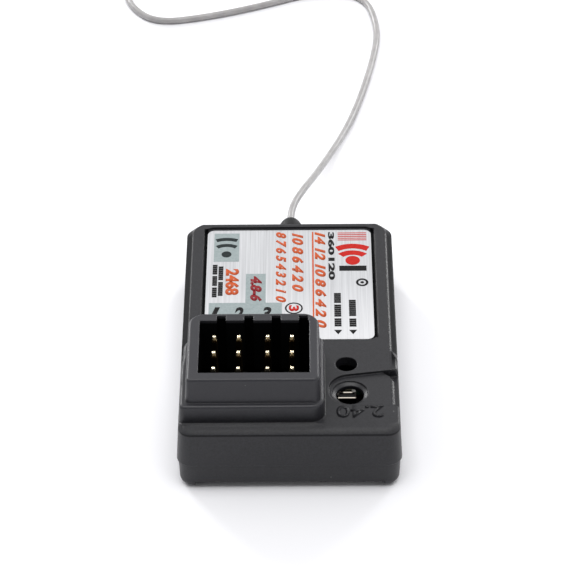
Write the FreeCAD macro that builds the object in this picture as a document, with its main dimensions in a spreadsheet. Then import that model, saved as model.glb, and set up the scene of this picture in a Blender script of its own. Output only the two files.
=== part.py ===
import FreeCAD, Part
import math
import os
import re

import Sketcher

# A small three-channel radio control receiver, in millimetres. It lies flat on its base.
# +Y points from the socket end to the antenna end, +X to the right and +Z up. The origin is
# at the middle of the footprint, on the surface that the receiver stands on.

doc = FreeCAD.newDocument("rc_receiver")

# Driving sizes. Heights are measured from the base, and reaches named "front_to" from the
# front face where the two shells meet.
SIZES = [
    # shells
    ("case_width", 23.3, "both shells, at the seam"),
    ("case_length", 35.9, "both shells, at the seam"),
    ("seam_height", 3.3, "where the two shells meet"),
    ("deck_height", 7.6, "top of the upper shell"),
    ("side_draft", 3.4, "lean of the upper shell's walls, degrees"),
    ("front_corner", 1.6, "corner radius in plan, socket end"),
    ("rear_corner", 1.8, "corner radius in plan, antenna end"),
    ("wall", 1.2, "side walls of the upper shell"),
    ("roof", 1.1, "top wall of the upper shell"),
    ("edge_round", 0.3, "rounding of the outer edges"),
    ("lower_inset", 0.15, "lower shell stands back from the upper one"),
    ("lower_draft", 2.0, "lean of the lower shell's walls, degrees"),
    ("lower_wall", 1.6, "side walls of the lower shell"),
    ("lower_edge", 1.0, "rounding along the base"),
    ("floor_wall", 1.0, "bottom wall of the lower shell"),
    ("lip_height", 0.8, "locating lip above the seam"),
    ("fit_gap", 0.1, "clearance between pieces that locate each other"),
    ("relief_height", 0.9, "relief under the front edge"),
    ("relief_depth", 1.2, "relief, from the front face"),
    ("foot_width", 1.85, "foot left at each front corner"),
    # sloping shoulders along the two long edges
    ("shoulder_drop", 0.7, "shoulder, across and down"),
    ("shoulder_margin", 0.9, "deck edge to the side of the case"),
    ("shoulder_start", 0.26, "full width starts this far ahead of the block's rear"),
    ("shoulder_runout", 1.6, "length over which a shoulder runs out"),
    ("shoulder_narrowing", 0.65, "width that it loses over that length"),
    ("shoulder_corner", 2.0, "corner radius of the deck, antenna end"),
    # socket block in two tiers
    ("tier_height", 9.66, "top of the block's wide lower tier"),
    ("rim_height", 12.67, "top of the block's narrow upper tier"),
    ("block_draft", 2.8, "lean of the block's walls, degrees"),
    ("tier_margin", 0.32, "lower tier's left wall to the side of the case"),
    ("front_to_tier", 1.86, "front wall of the lower tier"),
    ("ledge_left", 0.6, "ledge between the tiers, left"),
    ("ledge_right", 0.32, "ledge between the tiers, right"),
    ("ledge_front", 0.6, "ledge between the tiers, front"),
    ("ledge_rear", 0.3, "upper tier stands this far behind the lower one"),
    ("tier_jog", 0.17, "step in the lower tier's left wall"),
    ("jog_start", 6.74, "step, from the lower tier's front wall"),
    ("jog_length", 1.3, "length over which the wall steps in"),
    ("front_edge", 0.6, "front left corners of the tiers"),
    ("tier_corner", 1.5, "front right corner of the lower tier"),
    ("tier_rear_corner", 1.0, "rear right corner of the lower tier"),
    ("rim_front_corner", 0.9, "front right corner of the upper tier"),
    ("rim_corner", 2.0, "rear corners of the upper tier"),
    ("rim_wall_left", 1.44, "upper tier's wall, left"),
    ("rim_wall_right", 1.26, "upper tier's wall, right"),
    ("rim_wall_front", 1.4, "upper tier's wall, front"),
    ("rim_wall_rear", 1.5, "upper tier's wall, rear"),
    # well that takes the servo plugs
    ("well_clear", 0.39, "pin headers to the walls of the well"),
    ("well_shift", 0.13, "middle of the well, right of the pins' middle"),
    ("notch_width", 0.95, "polarising notch, across"),
    ("notch_depth", 0.78, "polarising notch, into the rear wall"),
    ("notch_pitch", 2.86, "from one notch to the next"),
    ("notch_shift", 0.83, "notches' middle, right of the well's"),
    ("sleeve_wall", 1.0, "wall of the sleeve that carries the well down inside"),
    # contact pins in two headers
    ("pin_pitch", 2.54, "contact pitch"),
    ("pin_side", 0.64, "square contact pin"),
    ("header_gap", 0.474, "between the two pin headers"),
    ("header_height", 2.54, "insulator of a pin header"),
    ("header_nick", 0.5, "cut corners of an insulator's cells"),
    ("pin_reach", 6.0, "pin above its insulator"),
    ("pin_tail", 1.3, "pin below the board"),
    ("pin_taper", 0.6, "length of a pin's pointed end"),
    ("pin_point", 0.3, "width of a pin's pointed end"),
    ("pin_hole", 1.0, "plated hole for a pin"),
    ("solder_foot", 1.5, "solder fillet at the board, across"),
    ("solder_top", 0.96, "solder fillet at its tip, across"),
    ("solder_rise", 0.6, "solder fillet along the pin"),
    # label in its recess
    ("block_to_label", 1.7, "socket block to the label"),
    ("label_side", 2.55, "label to the side of the case"),
    ("label_rear", 1.3, "label to the rear of the case"),
    ("label_corner", 0.8, "corner radius of the label"),
    ("label_gap", 0.38, "between the label and the recess's walls"),
    ("recess_drop", 0.3, "depth of the recesses in the deck"),
    ("label_thick", 0.1, "printed film"),
    # openings for the push button and the indicator
    ("tier_to_button", 2.62, "push button opening, from the block"),
    ("front_to_button", 6.88, "push button opening"),
    ("button_hole", 2.9, "push button opening, diameter"),
    ("button_dish", 3.74, "dish round the opening, diameter"),
    ("dish_drop", 0.15, "step at the edge of the dish"),
    ("dish_slope", 0.2, "height of the dish's slope"),
    ("tier_to_finger", 0.4, "finger recess, from the block"),
    ("front_to_finger", 4.55, "finger recess"),
    ("finger_depth", 4.61, "finger recess, front to rear at its left end"),
    ("finger_slope", 8.6, "angle of its rear wall, degrees"),
    ("finger_round", 2.3, "radius of its left end"),
    ("slot_margin", 0.72, "side slot's inner wall to the side of the case"),
    ("slot_flare", 2.35, "length of its slanted front end"),
    ("slot_hook", 1.13, "widening at its rear end"),
    ("slot_corner", 1.2, "rounding at the root of the widening"),
    ("slot_drop", 1.0, "floor of the side slot, below the deck"),
    ("slot_backing", 0.9, "wall under the side slot"),
    ("tier_to_light", 2.3, "indicator opening, from the block"),
    ("front_to_light", 11.1, "indicator opening"),
    ("light_hole", 2.3, "indicator opening, diameter"),
    # circuit board and what holds it
    ("board_under", 2.6, "underside of the board"),
    ("board_thick", 0.8, "board"),
    ("board_gap", 0.3, "board to the walls of the lower shell"),
    ("board_corner", 0.6, "corner radius of the board"),
    ("rest_width", 1.2, "rib under the board's edge"),
    ("rest_length", 2.0, "rib, front to rear"),
    ("rest_pitch", 13.0, "from one rib to the next"),
    ("front_to_rest", 5.0, "middle of the first rib"),
    ("post_size", 1.4, "posts that hold the board down, square"),
    ("post_side", 3.4, "posts to the side of the case"),
    ("front_to_post", 3.6, "post beside the block"),
    ("block_to_post", 3.2, "posts behind the block"),
    ("post_rear", 4.4, "posts to the rear of the case"),
    # push switch
    ("switch_shift", 0.3, "switch stands left of its opening's middle"),
    ("switch_back", 0.12, "and behind it"),
    ("switch_width", 3.4, "switch body, across"),
    ("switch_depth", 2.6, "switch body, front to rear"),
    ("switch_height", 2.2, "switch body"),
    ("switch_wall", 0.45, "walls of the switch body"),
    ("dome_seat", 0.9, "floor inside the switch body"),
    ("dome_size", 1.6, "snap dome, diameter"),
    ("dome_rise", 0.3, "snap dome, height"),
    ("dome_thick", 0.08, "snap dome's sheet"),
    ("cover_thick", 0.15, "sheet metal cover"),
    ("tab_width", 1.2, "side tabs of the cover, front to rear"),
    ("tab_length", 1.3, "side tabs of the cover, down the body"),
    ("collar_width", 1.86, "collar drawn up from the cover, across"),
    ("collar_depth", 1.0, "collar, front to rear"),
    ("collar_rise", 1.1, "collar above the cover"),
    ("plunger_gap", 0.03, "running clearance of the plunger"),
    ("plunger_drop", 0.12, "plunger's top below the collar's"),
    ("plunger_flange", 0.4, "plunger's flange, thickness"),
    ("plunger_nub", 0.8, "nub under the flange, diameter"),
    ("leg_width", 0.5, "soldered leg of the switch"),
    ("leg_thick", 0.15, "soldered leg, sheet"),
    ("leg_reach", 0.6, "soldered leg, past the body"),
    ("leg_spacing", 1.7, "between the legs on one side"),
    # indicator
    ("light_width", 2.0, "indicator, across"),
    ("light_depth", 1.25, "indicator, front to rear"),
    ("light_base", 0.4, "indicator's base"),
    ("lens_width", 1.3, "indicator's lens, across"),
    ("lens_height", 0.7, "indicator's lens"),
    # chips and other parts on the board
    ("processor_side", 4.0, "processor's package"),
    ("radio_side", 4.0, "radio chip's package"),
    ("package_height", 0.9, "moulded packages"),
    ("package_draft", 6.0, "lean of their sides, degrees"),
    ("index_mark", 0.6, "round mark at a package's first contact, diameter"),
    ("index_depth", 0.1, "round mark, depth"),
    ("crystal_width", 3.2, "crystal's can, across"),
    ("crystal_depth", 2.5, "crystal's can, front to rear"),
    ("crystal_height", 0.7, "crystal's can"),
    ("regulator_width", 2.9, "voltage regulator, across"),
    ("regulator_depth", 1.6, "voltage regulator, front to rear"),
    ("regulator_height", 1.1, "voltage regulator"),
    ("capacitor_width", 3.5, "bulk capacitor, across"),
    ("capacitor_depth", 2.8, "bulk capacitor, front to rear"),
    ("capacitor_height", 1.9, "bulk capacitor"),
    ("chip_length", 1.6, "small chip parts, across"),
    ("chip_width", 0.8, "small chip parts, front to rear"),
    ("chip_height", 0.5, "small chip parts"),
    ("chip_pitch", 1.1, "small chip parts, spacing in a row"),
    ("bead_width", 2.0, "ferrite bead, across"),
    ("bead_depth", 1.25, "ferrite bead, front to rear"),
    ("bead_height", 0.9, "ferrite bead"),
    # where they stand: right of the middle, and behind the block or ahead of the rear face
    ("processor_x", -3.5, "processor"),
    ("processor_y", 4.2, "processor, behind the block"),
    ("radio_x", 3.6, "radio chip"),
    ("radio_y", 4.2, "radio chip, behind the block"),
    ("crystal_x", 3.9, "crystal"),
    ("crystal_y", 8.2, "crystal, behind the block"),
    ("capacitor_x", -3.8, "bulk capacitor"),
    ("capacitor_y", 8.7, "bulk capacitor, behind the block"),
    ("regulator_x", -4.0, "voltage regulator"),
    ("regulator_y", 3.9, "voltage regulator, ahead of the rear face"),
    ("bead_x", 3.9, "ferrite bead"),
    ("bead_y", 3.9, "ferrite bead, ahead of the rear face"),
    ("chips_x", 3.25, "rows of small chip parts, to the sides of the case"),
    ("chips_y", 4.8, "first of a row, behind the block"),
    # antenna lead and boot
    ("lead_height", 6.0, "antenna lead where it leaves the case"),
    ("lead_x", 0.15, "antenna lead, right of the case's middle"),
    ("lead_size", 0.81, "coaxial lead, diameter"),
    ("core_size", 0.5, "bared core of the lead, diameter"),
    ("boot_reach", 2.0, "boot behind the case"),
    ("boot_base", 2.8, "boot at the case, diameter"),
    ("boot_tip", 1.5, "boot at its tip, diameter"),
    ("boot_taper", 0.85, "length over which the boot narrows"),
    ("boot_round", 2.8, "curve of the boot's taper, radius"),
    ("boot_neck", 1.6, "boot inside the wall's hole, diameter"),
    ("flange_width", 3.4, "boot's flange inside the wall, across"),
    ("flange_drop", 1.6, "flange below the lead's middle"),
    ("flange_thick", 0.7, "flange"),
    ("lead_level", 4.0, "level stretch of the lead behind the boot"),
    ("lead_slope", 4.0, "stretch over which it comes down to the board"),
    ("lead_rest", 2.6, "stretch that lies on the board"),
    ("joint_side", 0.9, "solder joint of the lead's core"),
    ("joint_gap", 0.3, "bared core before its joint"),
    ("bared_core", 0.3, "lead's centre wire, diameter"),
]

sheet = doc.addObject("Spreadsheet::Sheet", "Sizes")
for row, (alias, value, note) in enumerate(SIZES, 1):
    sheet.set(f"A{row}", str(value))
    sheet.setAlias(f"A{row}", alias)
    sheet.set(f"B{row}", note)
doc.recompute()

ALIASES = {alias for alias, value, note in SIZES}
TINY = 0.001

# Sub-parts in the order in which they are made. Each one is written to its own file.
nodes = []


def bound(expression):
    """The expression with each size's name pointing at its cell."""
    return re.sub(r"[a-z]\w*", lambda word: f"Sizes.{word[0]}" if word[0] in ALIASES else word[0],
                  str(expression))


def size(expression):
    """What an expression comes to, in millimetres or degrees."""
    return float(sheet.evalExpression(bound(expression)))


def tie(thing, **properties):
    """Bind properties of a document object to expressions."""
    for name, expression in properties.items():
        thing.setExpression(name, bound(expression))


def new_body(name):
    """A sub-part made of sketched features."""
    body = doc.addObject("PartDesign::Body", name)
    body.Label = name
    nodes.append(body)
    return body


def new_sketch(body, name, origin, plane):
    """Empty sketch on one of the body's planes, with its own origin at a point in space."""
    sketch = body.newObject("Sketcher::SketchObject", name)
    support = next(part for part in body.Origin.OriginFeatures if part.Role == f"{plane}_Plane")
    sketch.AttachmentSupport = (support, [""])
    sketch.MapMode = "FlatFace"
    x, y, z = origin
    local = {"XY": (x, y, z), "XZ": (x, z, f"-({y})"), "YZ": (y, z, x)}[plane]
    for axis, place in zip("xyz", local):
        sketch.setExpression(f"AttachmentOffset.Base.{axis}", bound(place))
    return sketch


def fix_point(sketch, geometry, which, place):
    """Fix a point of a sketch at two expressions, measured from the sketch's origin."""
    for kind, axis, expression in zip(("DistanceX", "DistanceY"), (-2, -1), place):
        if expression == 0:
            sketch.addConstraint(Sketcher.Constraint("PointOnObject", geometry, which, axis))
            continue
        number = sketch.addConstraint(
            Sketcher.Constraint(kind, -1, 1, geometry, which, size(expression)))
        sketch.setExpression(f"Constraints[{number}]", bound(expression))


def outline(body, name, corners, origin=(0, 0, 0), plane="XY"):
    """Closed outline of straight sides. A corner is its two places and its rounding, or None."""
    sketch = new_sketch(body, name, origin, plane)
    points = [FreeCAD.Vector(size(across), size(along), 0) for across, along, rounding in corners]
    count = len(points)
    for number in range(count):
        sketch.addGeometry(Part.LineSegment(points[number], points[(number + 1) % count]), False)
    for number in range(count):
        sketch.addConstraint(
            Sketcher.Constraint("Coincident", number, 2, (number + 1) % count, 1))
    for number, (across, along, rounding) in enumerate(corners):
        fix_point(sketch, number, 1, (across, along))
    for number, (across, along, rounding) in enumerate(corners):
        if rounding is None:
            continue
        corner = points[number]
        before = (points[number - 1] - corner).normalize() * size(rounding)
        after = (points[(number + 1) % count] - corner).normalize() * size(rounding)
        sketch.fillet((number - 1) % count, number, corner + before, corner + after,
                      size(rounding), True, True)
        arc = max(place for place, shape in enumerate(sketch.Geometry)
                  if isinstance(shape, Part.ArcOfCircle))
        radius = sketch.addConstraint(Sketcher.Constraint("Radius", arc, size(rounding)))
        sketch.setExpression(f"Constraints[{radius}]", bound(rounding))
    return sketch


def circles(body, name, rounds, origin=(0, 0, 0), plane="XY"):
    """Full circles. Each one is its two places and its diameter."""
    sketch = new_sketch(body, name, origin, plane)
    for across, along, diameter in rounds:
        middle = FreeCAD.Vector(size(across), size(along), 0)
        circle = sketch.addGeometry(
            Part.Circle(middle, FreeCAD.Vector(0, 0, 1), size(diameter) / 2), False)
        fix_point(sketch, circle, 3, (across, along))
        number = sketch.addConstraint(Sketcher.Constraint("Diameter", circle, size(diameter)))
        sketch.setExpression(f"Constraints[{number}]", bound(diameter))
    return sketch


def rectangle(left, front, right, rear, rounding=None):
    """Corners of a rectangle for an outline."""
    return [(left, front, rounding), (right, front, rounding),
            (right, rear, rounding), (left, rear, rounding)]


def centred(across, along, width, depth, rounding=None):
    """Corners of a rectangle round its middle."""
    return rectangle(f"{across} - ({width}) / 2", f"{along} - ({depth}) / 2",
                     f"{across} + ({width}) / 2", f"{along} + ({depth}) / 2", rounding)


def feature(body, kind, name, sketch, length, lean=None, turned=False):
    """Pad or pocket of a sketch. Its walls lean inwards by an angle on their way."""
    made = body.newObject(f"PartDesign::{kind}", name)
    made.Profile = sketch
    tie(made, Length=length)
    if lean is not None:
        tie(made, TaperAngle=f"-({lean})")
    made.Reversed = turned
    return made


def pad(body, name, sketch, length, lean=None, turned=False):
    return feature(body, "Pad", name, sketch, length, lean, turned)


def pocket(body, name, sketch, length, lean=None, turned=False):
    return feature(body, "Pocket", name, sketch, length, lean, turned)


def round_level_edges(body, name, base, height, radius):
    """Round the edges of a feature that lie level at a height."""
    doc.recompute()
    level = size(height)
    edges = [f"Edge{number}" for number, edge in enumerate(base.Shape.Edges, 1)
             if abs(edge.BoundBox.ZMin - level) < TINY and abs(edge.BoundBox.ZMax - level) < TINY]
    rounded = body.newObject("PartDesign::Fillet", name)
    rounded.Base = (base, edges)
    tie(rounded, Radius=radius)
    return rounded


def repeat(body, name, original, sketch, count, length, second_count=1, second_length="1"):
    """Copies of a feature in rows along its sketch's axes."""
    pattern = body.newObject("PartDesign::LinearPattern", name)
    pattern.Originals = [original]
    pattern.Direction = (sketch, ["H_Axis"])
    pattern.Occurrences = count
    tie(pattern, Length=length)
    if second_count > 1:
        pattern.Direction2 = (sketch, ["V_Axis"])
        pattern.Occurrences2 = second_count
        tie(pattern, Length2=second_length)
    body.Tip = pattern
    return pattern


def block(name, left, front, bottom, width, depth, height):
    """Plain box whose place and size are expressions."""
    box = doc.addObject("Part::Box", name)
    tie(box, Length=width, Width=depth, Height=height)
    for axis, place in zip("xyz", (left, front, bottom)):
        box.setExpression(f"Placement.Base.{axis}", bound(place))
    return box


# Places that several pieces share, worked out from the driving sizes.
COLUMNS = 4
COLUMNS_PER_HEADER = 2
CONTACTS = ("ground", "power", "signal")

SIDE = "(case_width / 2)"
FRONT = "(-(case_length + boot_reach) / 2)"
REAR = f"({FRONT} + case_length)"
OUTSIDE = f"({SIDE} + 1.5 * wall)"
BEHIND = f"({REAR} + 1.5 * wall)"
INNER_ROOF = "(deck_height - roof)"
RECESS_FLOOR = "(deck_height - recess_drop)"
BOARD_TOP = "(board_under + board_thick)"
HEADER_TOP = f"({BOARD_TOP} + header_height)"

HEADERS_WIDTH = f"({COLUMNS} * pin_pitch + header_gap)"
HEADERS_DEPTH = f"({len(CONTACTS)} * pin_pitch)"
TIER_LEFT = f"(-{SIDE} + tier_margin)"
RIM_LEFT = f"({TIER_LEFT} + ledge_left)"
WELL_LEFT = f"({RIM_LEFT} + rim_wall_left)"
WELL_RIGHT = f"({WELL_LEFT} + {HEADERS_WIDTH} + 2 * well_clear)"
RIM_RIGHT = f"({WELL_RIGHT} + rim_wall_right)"
TIER_RIGHT = f"({RIM_RIGHT} + ledge_right)"
TIER_FRONT = f"({FRONT} + front_to_tier)"
RIM_FRONT = f"({TIER_FRONT} + ledge_front)"
WELL_FRONT = f"({RIM_FRONT} + rim_wall_front)"
WELL_REAR = f"({WELL_FRONT} + {HEADERS_DEPTH} + 2 * well_clear)"
RIM_REAR = f"({WELL_REAR} + rim_wall_rear)"
TIER_REAR = f"({RIM_REAR} - ledge_rear)"
PINS_X = f"(({WELL_LEFT} + {WELL_RIGHT}) / 2 - well_shift)"
PINS_Y = f"(({WELL_FRONT} + {WELL_REAR}) / 2)"

BUTTON = (f"({TIER_RIGHT} + tier_to_button)", f"({FRONT} + front_to_button)")
SWITCH = (f"({BUTTON[0]} - switch_shift)", f"({BUTTON[1]} + switch_back)")
LIGHT = (f"({TIER_RIGHT} + tier_to_light)", f"({FRONT} + front_to_light)")

LABEL_SIDE = f"({SIDE} - label_side)"
LABEL_FRONT = f"({RIM_REAR} + block_to_label)"
LABEL_REAR = f"({REAR} - label_rear)"

LOWER_INSIDE = "(lower_inset + lower_wall)"
INSIDE_HALF = f"({SIDE} - {LOWER_INSIDE})"

# The moulded walls are a little narrower at the deck than at the seam.
WALL_LEAN = "((deck_height - seam_height) * tan(side_draft * 1 deg))"


# Upper shell: drafted walls and a deck, moulded in one piece with the two tiers of the socket
# block, the recesses for the label and the push button, and the posts inside.
upper = new_body("upper_case")

shell = outline(upper, "shell_outline", [
    (f"-{SIDE}", FRONT, "front_corner"),
    (SIDE, FRONT, "front_corner"),
    (SIDE, REAR, "rear_corner"),
    (f"-{SIDE}", REAR, "rear_corner"),
], (0, 0, "seam_height"))
walls = pad(upper, "walls", shell, "deck_height - seam_height", "side_draft")
round_level_edges(upper, "deck_edge", walls, "deck_height", "edge_round")

# The shoulders are cut at 45 degrees, and run out beside the block and round the rear corners.
DECK_SIDE = f"({SIDE} - shoulder_margin)"
DECK_REAR = f"({REAR} - {WALL_LEAN} + edge_round / 10)"
SHOULDER_FRONT = f"({TIER_REAR} - shoulder_start)"
RUNOUT = (f"({SHOULDER_FRONT} - ({OUTSIDE} - {DECK_SIDE}) * shoulder_runout / shoulder_narrowing)")
shoulder = outline(upper, "shoulder_outline", [
    (DECK_SIDE, SHOULDER_FRONT, None),
    (DECK_SIDE, DECK_REAR, "shoulder_corner"),
    (f"-{DECK_SIDE}", DECK_REAR, "shoulder_corner"),
    (f"-{DECK_SIDE}", SHOULDER_FRONT, None),
    (f"-{OUTSIDE}", RUNOUT, None),
    (f"-{OUTSIDE}", BEHIND, None),
    (OUTSIDE, BEHIND, None),
    (OUTSIDE, RUNOUT, None),
], (0, 0, "deck_height"))
pocket(upper, "shoulders", shoulder, "shoulder_drop", "45")

# Both tiers start in the rounding of the deck's edge, so that they stand flush with it.
BLOCK_FOOT = "(deck_height - edge_round)"
tier_left_rear = f"({TIER_LEFT} + tier_jog)"
tier = outline(upper, "tier_outline", [
    (TIER_LEFT, TIER_FRONT, "front_edge"),
    (TIER_RIGHT, TIER_FRONT, "tier_corner"),
    (TIER_RIGHT, TIER_REAR, "tier_rear_corner"),
    (tier_left_rear, TIER_REAR, "rim_corner"),
    (tier_left_rear, f"{TIER_FRONT} + jog_start + jog_length", None),
    (TIER_LEFT, f"{TIER_FRONT} + jog_start", None),
], (0, 0, BLOCK_FOOT))
lower_tier = pad(upper, "lower_tier", tier, f"tier_height - {BLOCK_FOOT}", "block_draft")
round_level_edges(upper, "tier_edge", lower_tier, "tier_height", "edge_round")
rim = outline(upper, "rim_outline", [
    (RIM_LEFT, RIM_FRONT, "front_edge"),
    (RIM_RIGHT, RIM_FRONT, "rim_front_corner"),
    (RIM_RIGHT, RIM_REAR, "rim_corner"),
    (RIM_LEFT, RIM_REAR, "rim_corner"),
], (0, 0, BLOCK_FOOT))
upper_tier = pad(upper, "upper_tier", rim, f"rim_height - {BLOCK_FOOT}", "block_draft")
round_level_edges(upper, "rim_edge", upper_tier, "rim_height", "edge_round")

# The inside follows the outside at the walls' thickness.
hollow = outline(upper, "hollow_outline", rectangle(
    f"-({SIDE} - wall)", f"{FRONT} + wall", f"{SIDE} - wall", f"{REAR} - wall",
    "rear_corner - wall"), (0, 0, "seam_height"))
pocket(upper, "hollow", hollow, f"{INNER_ROOF} - seam_height", "side_draft", True)

# The sleeve carries the well down to the insulators of the pins.
SLEEVE_FOOT = f"({HEADER_TOP} + fit_gap)"
sleeve = outline(upper, "sleeve_outline", rectangle(
    f"{WELL_LEFT} - sleeve_wall", f"{WELL_FRONT} - sleeve_wall",
    f"{WELL_RIGHT} + sleeve_wall", f"{WELL_REAR} + sleeve_wall"), (0, 0, SLEEVE_FOOT))
pad(upper, "sleeve", sleeve, f"{INNER_ROOF} + roof / 4 - {SLEEVE_FOOT}")
well = outline(upper, "well_outline", rectangle(
    WELL_LEFT, WELL_FRONT, WELL_RIGHT, WELL_REAR), (0, 0, "rim_height"))
pocket(upper, "well", well, "rim_height - seam_height")

# One polarising notch for each servo port, in the rear wall of the well.
FIRST_NOTCH = f"(({WELL_LEFT} + {WELL_RIGHT}) / 2 + notch_shift - {COLUMNS - 1} * notch_pitch / 2)"
notch = outline(upper, "notch_outline", rectangle(
    f"{FIRST_NOTCH} - notch_width / 2", f"{WELL_REAR} - notch_depth",
    f"{FIRST_NOTCH} + notch_width / 2", f"{WELL_REAR} + notch_depth"), (0, 0, "rim_height"))
first_notch = pocket(upper, "first_notch", notch, "rim_height - seam_height")
repeat(upper, "notches", first_notch, notch, COLUMNS, f"{COLUMNS - 1} * notch_pitch")

# Recess for the label.
label_recess = outline(upper, "label_recess_outline", rectangle(
    f"-{LABEL_SIDE} - label_gap", f"{LABEL_FRONT} - label_gap",
    f"{LABEL_SIDE} + label_gap", f"{LABEL_REAR} + label_gap",
    "label_corner + label_gap"), (0, 0, "deck_height"))
pocket(upper, "label_recess", label_recess, "recess_drop")

# The finger recess is open to the right side, and its rear wall runs back at an angle.
FINGER_LEFT = f"({TIER_RIGHT} + tier_to_finger)"
FINGER_FRONT = f"({FRONT} + front_to_finger)"


def finger_rear(x):
    """Rear wall of the finger recess at a place across."""
    return f"({FINGER_FRONT} + finger_depth + ({x} - {FINGER_LEFT}) * tan(finger_slope * 1 deg))"


finger = outline(upper, "finger_outline", [
    (FINGER_LEFT, FINGER_FRONT, "finger_round"),
    (OUTSIDE, FINGER_FRONT, None),
    (OUTSIDE, finger_rear(OUTSIDE), None),
    (FINGER_LEFT, finger_rear(FINGER_LEFT), "finger_round"),
], (0, 0, "deck_height"))
pocket(upper, "finger_recess", finger, "recess_drop")

# The side slot drops further, beside the recess, with a wall of its own under it.
SLOT_LEFT = f"({SIDE} - slot_margin)"
SLOT_FLOOR = "(deck_height - slot_drop)"
BACKING_FOOT = f"({SLOT_FLOOR} - slot_backing)"
backing = outline(upper, "backing_outline", rectangle(
    f"{SLOT_LEFT} - slot_hook - wall", f"{FINGER_FRONT} - slot_flare",
    f"{SIDE} - wall / 2", finger_rear(SLOT_LEFT)), (0, 0, BACKING_FOOT))
pad(upper, "slot_backing", backing, f"{INNER_ROOF} + roof / 4 - {BACKING_FOOT}")
slot = outline(upper, "slot_outline", [
    (SLOT_LEFT, FINGER_FRONT, None),
    (OUTSIDE, f"{FINGER_FRONT} - slot_flare", None),
    (OUTSIDE, finger_rear(OUTSIDE), None),
    (f"{SLOT_LEFT} - slot_hook", finger_rear(f"({SLOT_LEFT} - slot_hook)"), None),
    (SLOT_LEFT, f"{finger_rear(SLOT_LEFT)} - slot_hook", "slot_corner"),
], (0, 0, "deck_height"))
pocket(upper, "side_slot", slot, "slot_drop")

# Dished opening for the push button, turned about its own middle, and the indicator's hole.
dish = outline(upper, "dish_profile", [
    (0, "recess_drop", None),
    ("button_dish / 2", "recess_drop", None),
    ("button_dish / 2", "-dish_drop", None),
    ("button_hole / 2", "-dish_drop - dish_slope", None),
    ("button_hole / 2", "-roof", None),
    (0, "-roof", None),
], (*BUTTON, RECESS_FLOOR), "XZ")
button_opening = upper.newObject("PartDesign::Groove", "button_opening")
button_opening.Profile = dish
button_opening.ReferenceAxis = (dish, ["V_Axis"])
button_opening.Angle = 360
light = circles(upper, "light_outline", [(*LIGHT, "light_hole")], (0, 0, "deck_height"))
pocket(upper, "light_opening", light, "roof * 1.5")

# Posts hold the board down on its ribs: one beside the block, two pairs behind it.
POST_X = f"({SIDE} - post_side)"
for name, post_x, post_y in (("right_front", POST_X, f"{FRONT} + front_to_post"),
                             ("right_middle", POST_X, f"{RIM_REAR} + block_to_post"),
                             ("left_middle", f"-{POST_X}", f"{RIM_REAR} + block_to_post"),
                             ("right_rear", POST_X, f"{REAR} - post_rear"),
                             ("left_rear", f"-{POST_X}", f"{REAR} - post_rear")):
    post = outline(upper, f"post_{name}_outline", centred(post_x, post_y, "post_size", "post_size"),
                   (0, 0, BOARD_TOP))
    pad(upper, f"post_{name}", post, f"{INNER_ROOF} + roof / 4 - {BOARD_TOP}")

# The rear wall has a flat seat for the antenna boot and a hole for its neck.
BOOT_SEAT = f"({REAR} - {WALL_LEAN})"
seat = circles(upper, "boot_seat_outline", [(0, 0, "boot_base + 2 * fit_gap")],
               ("lead_x", BEHIND, "lead_height"), "XZ")
pocket(upper, "boot_seat", seat, f"{BEHIND} - {BOOT_SEAT}", None, True)
neck_hole = circles(upper, "neck_hole_outline", [(0, 0, "boot_neck")],
                    ("lead_x", BEHIND, "lead_height"), "XZ")
pocket(upper, "neck_hole", neck_hole, f"{BEHIND} - {REAR} + 1.25 * wall", None, True)


# Lower shell: a shallow tray that leans in to its flat base, with a locating lip inside the
# upper shell, ribs under the board and a relief between the two front feet.
lower = new_body("lower_case")
tray = outline(lower, "tray_outline", [
    (f"-{SIDE} + lower_inset", f"{FRONT} + lower_inset", "front_corner - lower_inset"),
    (f"{SIDE} - lower_inset", f"{FRONT} + lower_inset", "front_corner - lower_inset"),
    (f"{SIDE} - lower_inset", f"{REAR} - lower_inset", "rear_corner - lower_inset"),
    (f"-{SIDE} + lower_inset", f"{REAR} - lower_inset", "rear_corner - lower_inset"),
], (0, 0, "seam_height"))
tray_block = pad(lower, "tray", tray, "seam_height", "lower_draft", True)
round_level_edges(lower, "base_edge", tray_block, "0", "lower_edge")
lip = outline(lower, "lip_outline", rectangle(
    f"-({SIDE} - wall - fit_gap)", f"{FRONT} + wall + fit_gap",
    f"{SIDE} - wall - fit_gap", f"{REAR} - wall - fit_gap",
    "rear_corner - wall"), (0, 0, "seam_height"))
pad(lower, "lip", lip, "lip_height", "side_draft")
inside = outline(lower, "inside_outline", rectangle(
    f"-{INSIDE_HALF}", f"{FRONT} + {LOWER_INSIDE}", INSIDE_HALF, f"{REAR} - {LOWER_INSIDE}",
    "board_corner + board_gap"), (0, 0, "seam_height + lip_height"))
pocket(lower, "inside", inside, "seam_height + lip_height - floor_wall")
relief = outline(lower, "relief_outline", rectangle(
    f"-({SIDE} - foot_width)", f"{FRONT} - wall", f"{SIDE} - foot_width",
    f"{FRONT} + relief_depth"), (0, 0, "relief_height"))
pocket(lower, "front_relief", relief, "relief_height")
rest = outline(lower, "rest_outline", rectangle(
    f"-{INSIDE_HALF} - wall / 4", f"{FRONT} + front_to_rest - rest_length / 2",
    f"-{INSIDE_HALF} + rest_width", f"{FRONT} + front_to_rest + rest_length / 2"),
    (0, 0, "floor_wall / 2"))
first_rest = pad(lower, "first_rest", rest, "board_under - floor_wall / 2")
RESTS_A_SIDE = 1 + int(size("(case_length - front_to_rest - rest_length) / rest_pitch"))
repeat(lower, "rests", first_rest, rest, 2, f"2 * {INSIDE_HALF} - rest_width + wall / 4",
       RESTS_A_SIDE, f"{RESTS_A_SIDE - 1} * rest_pitch")


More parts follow.
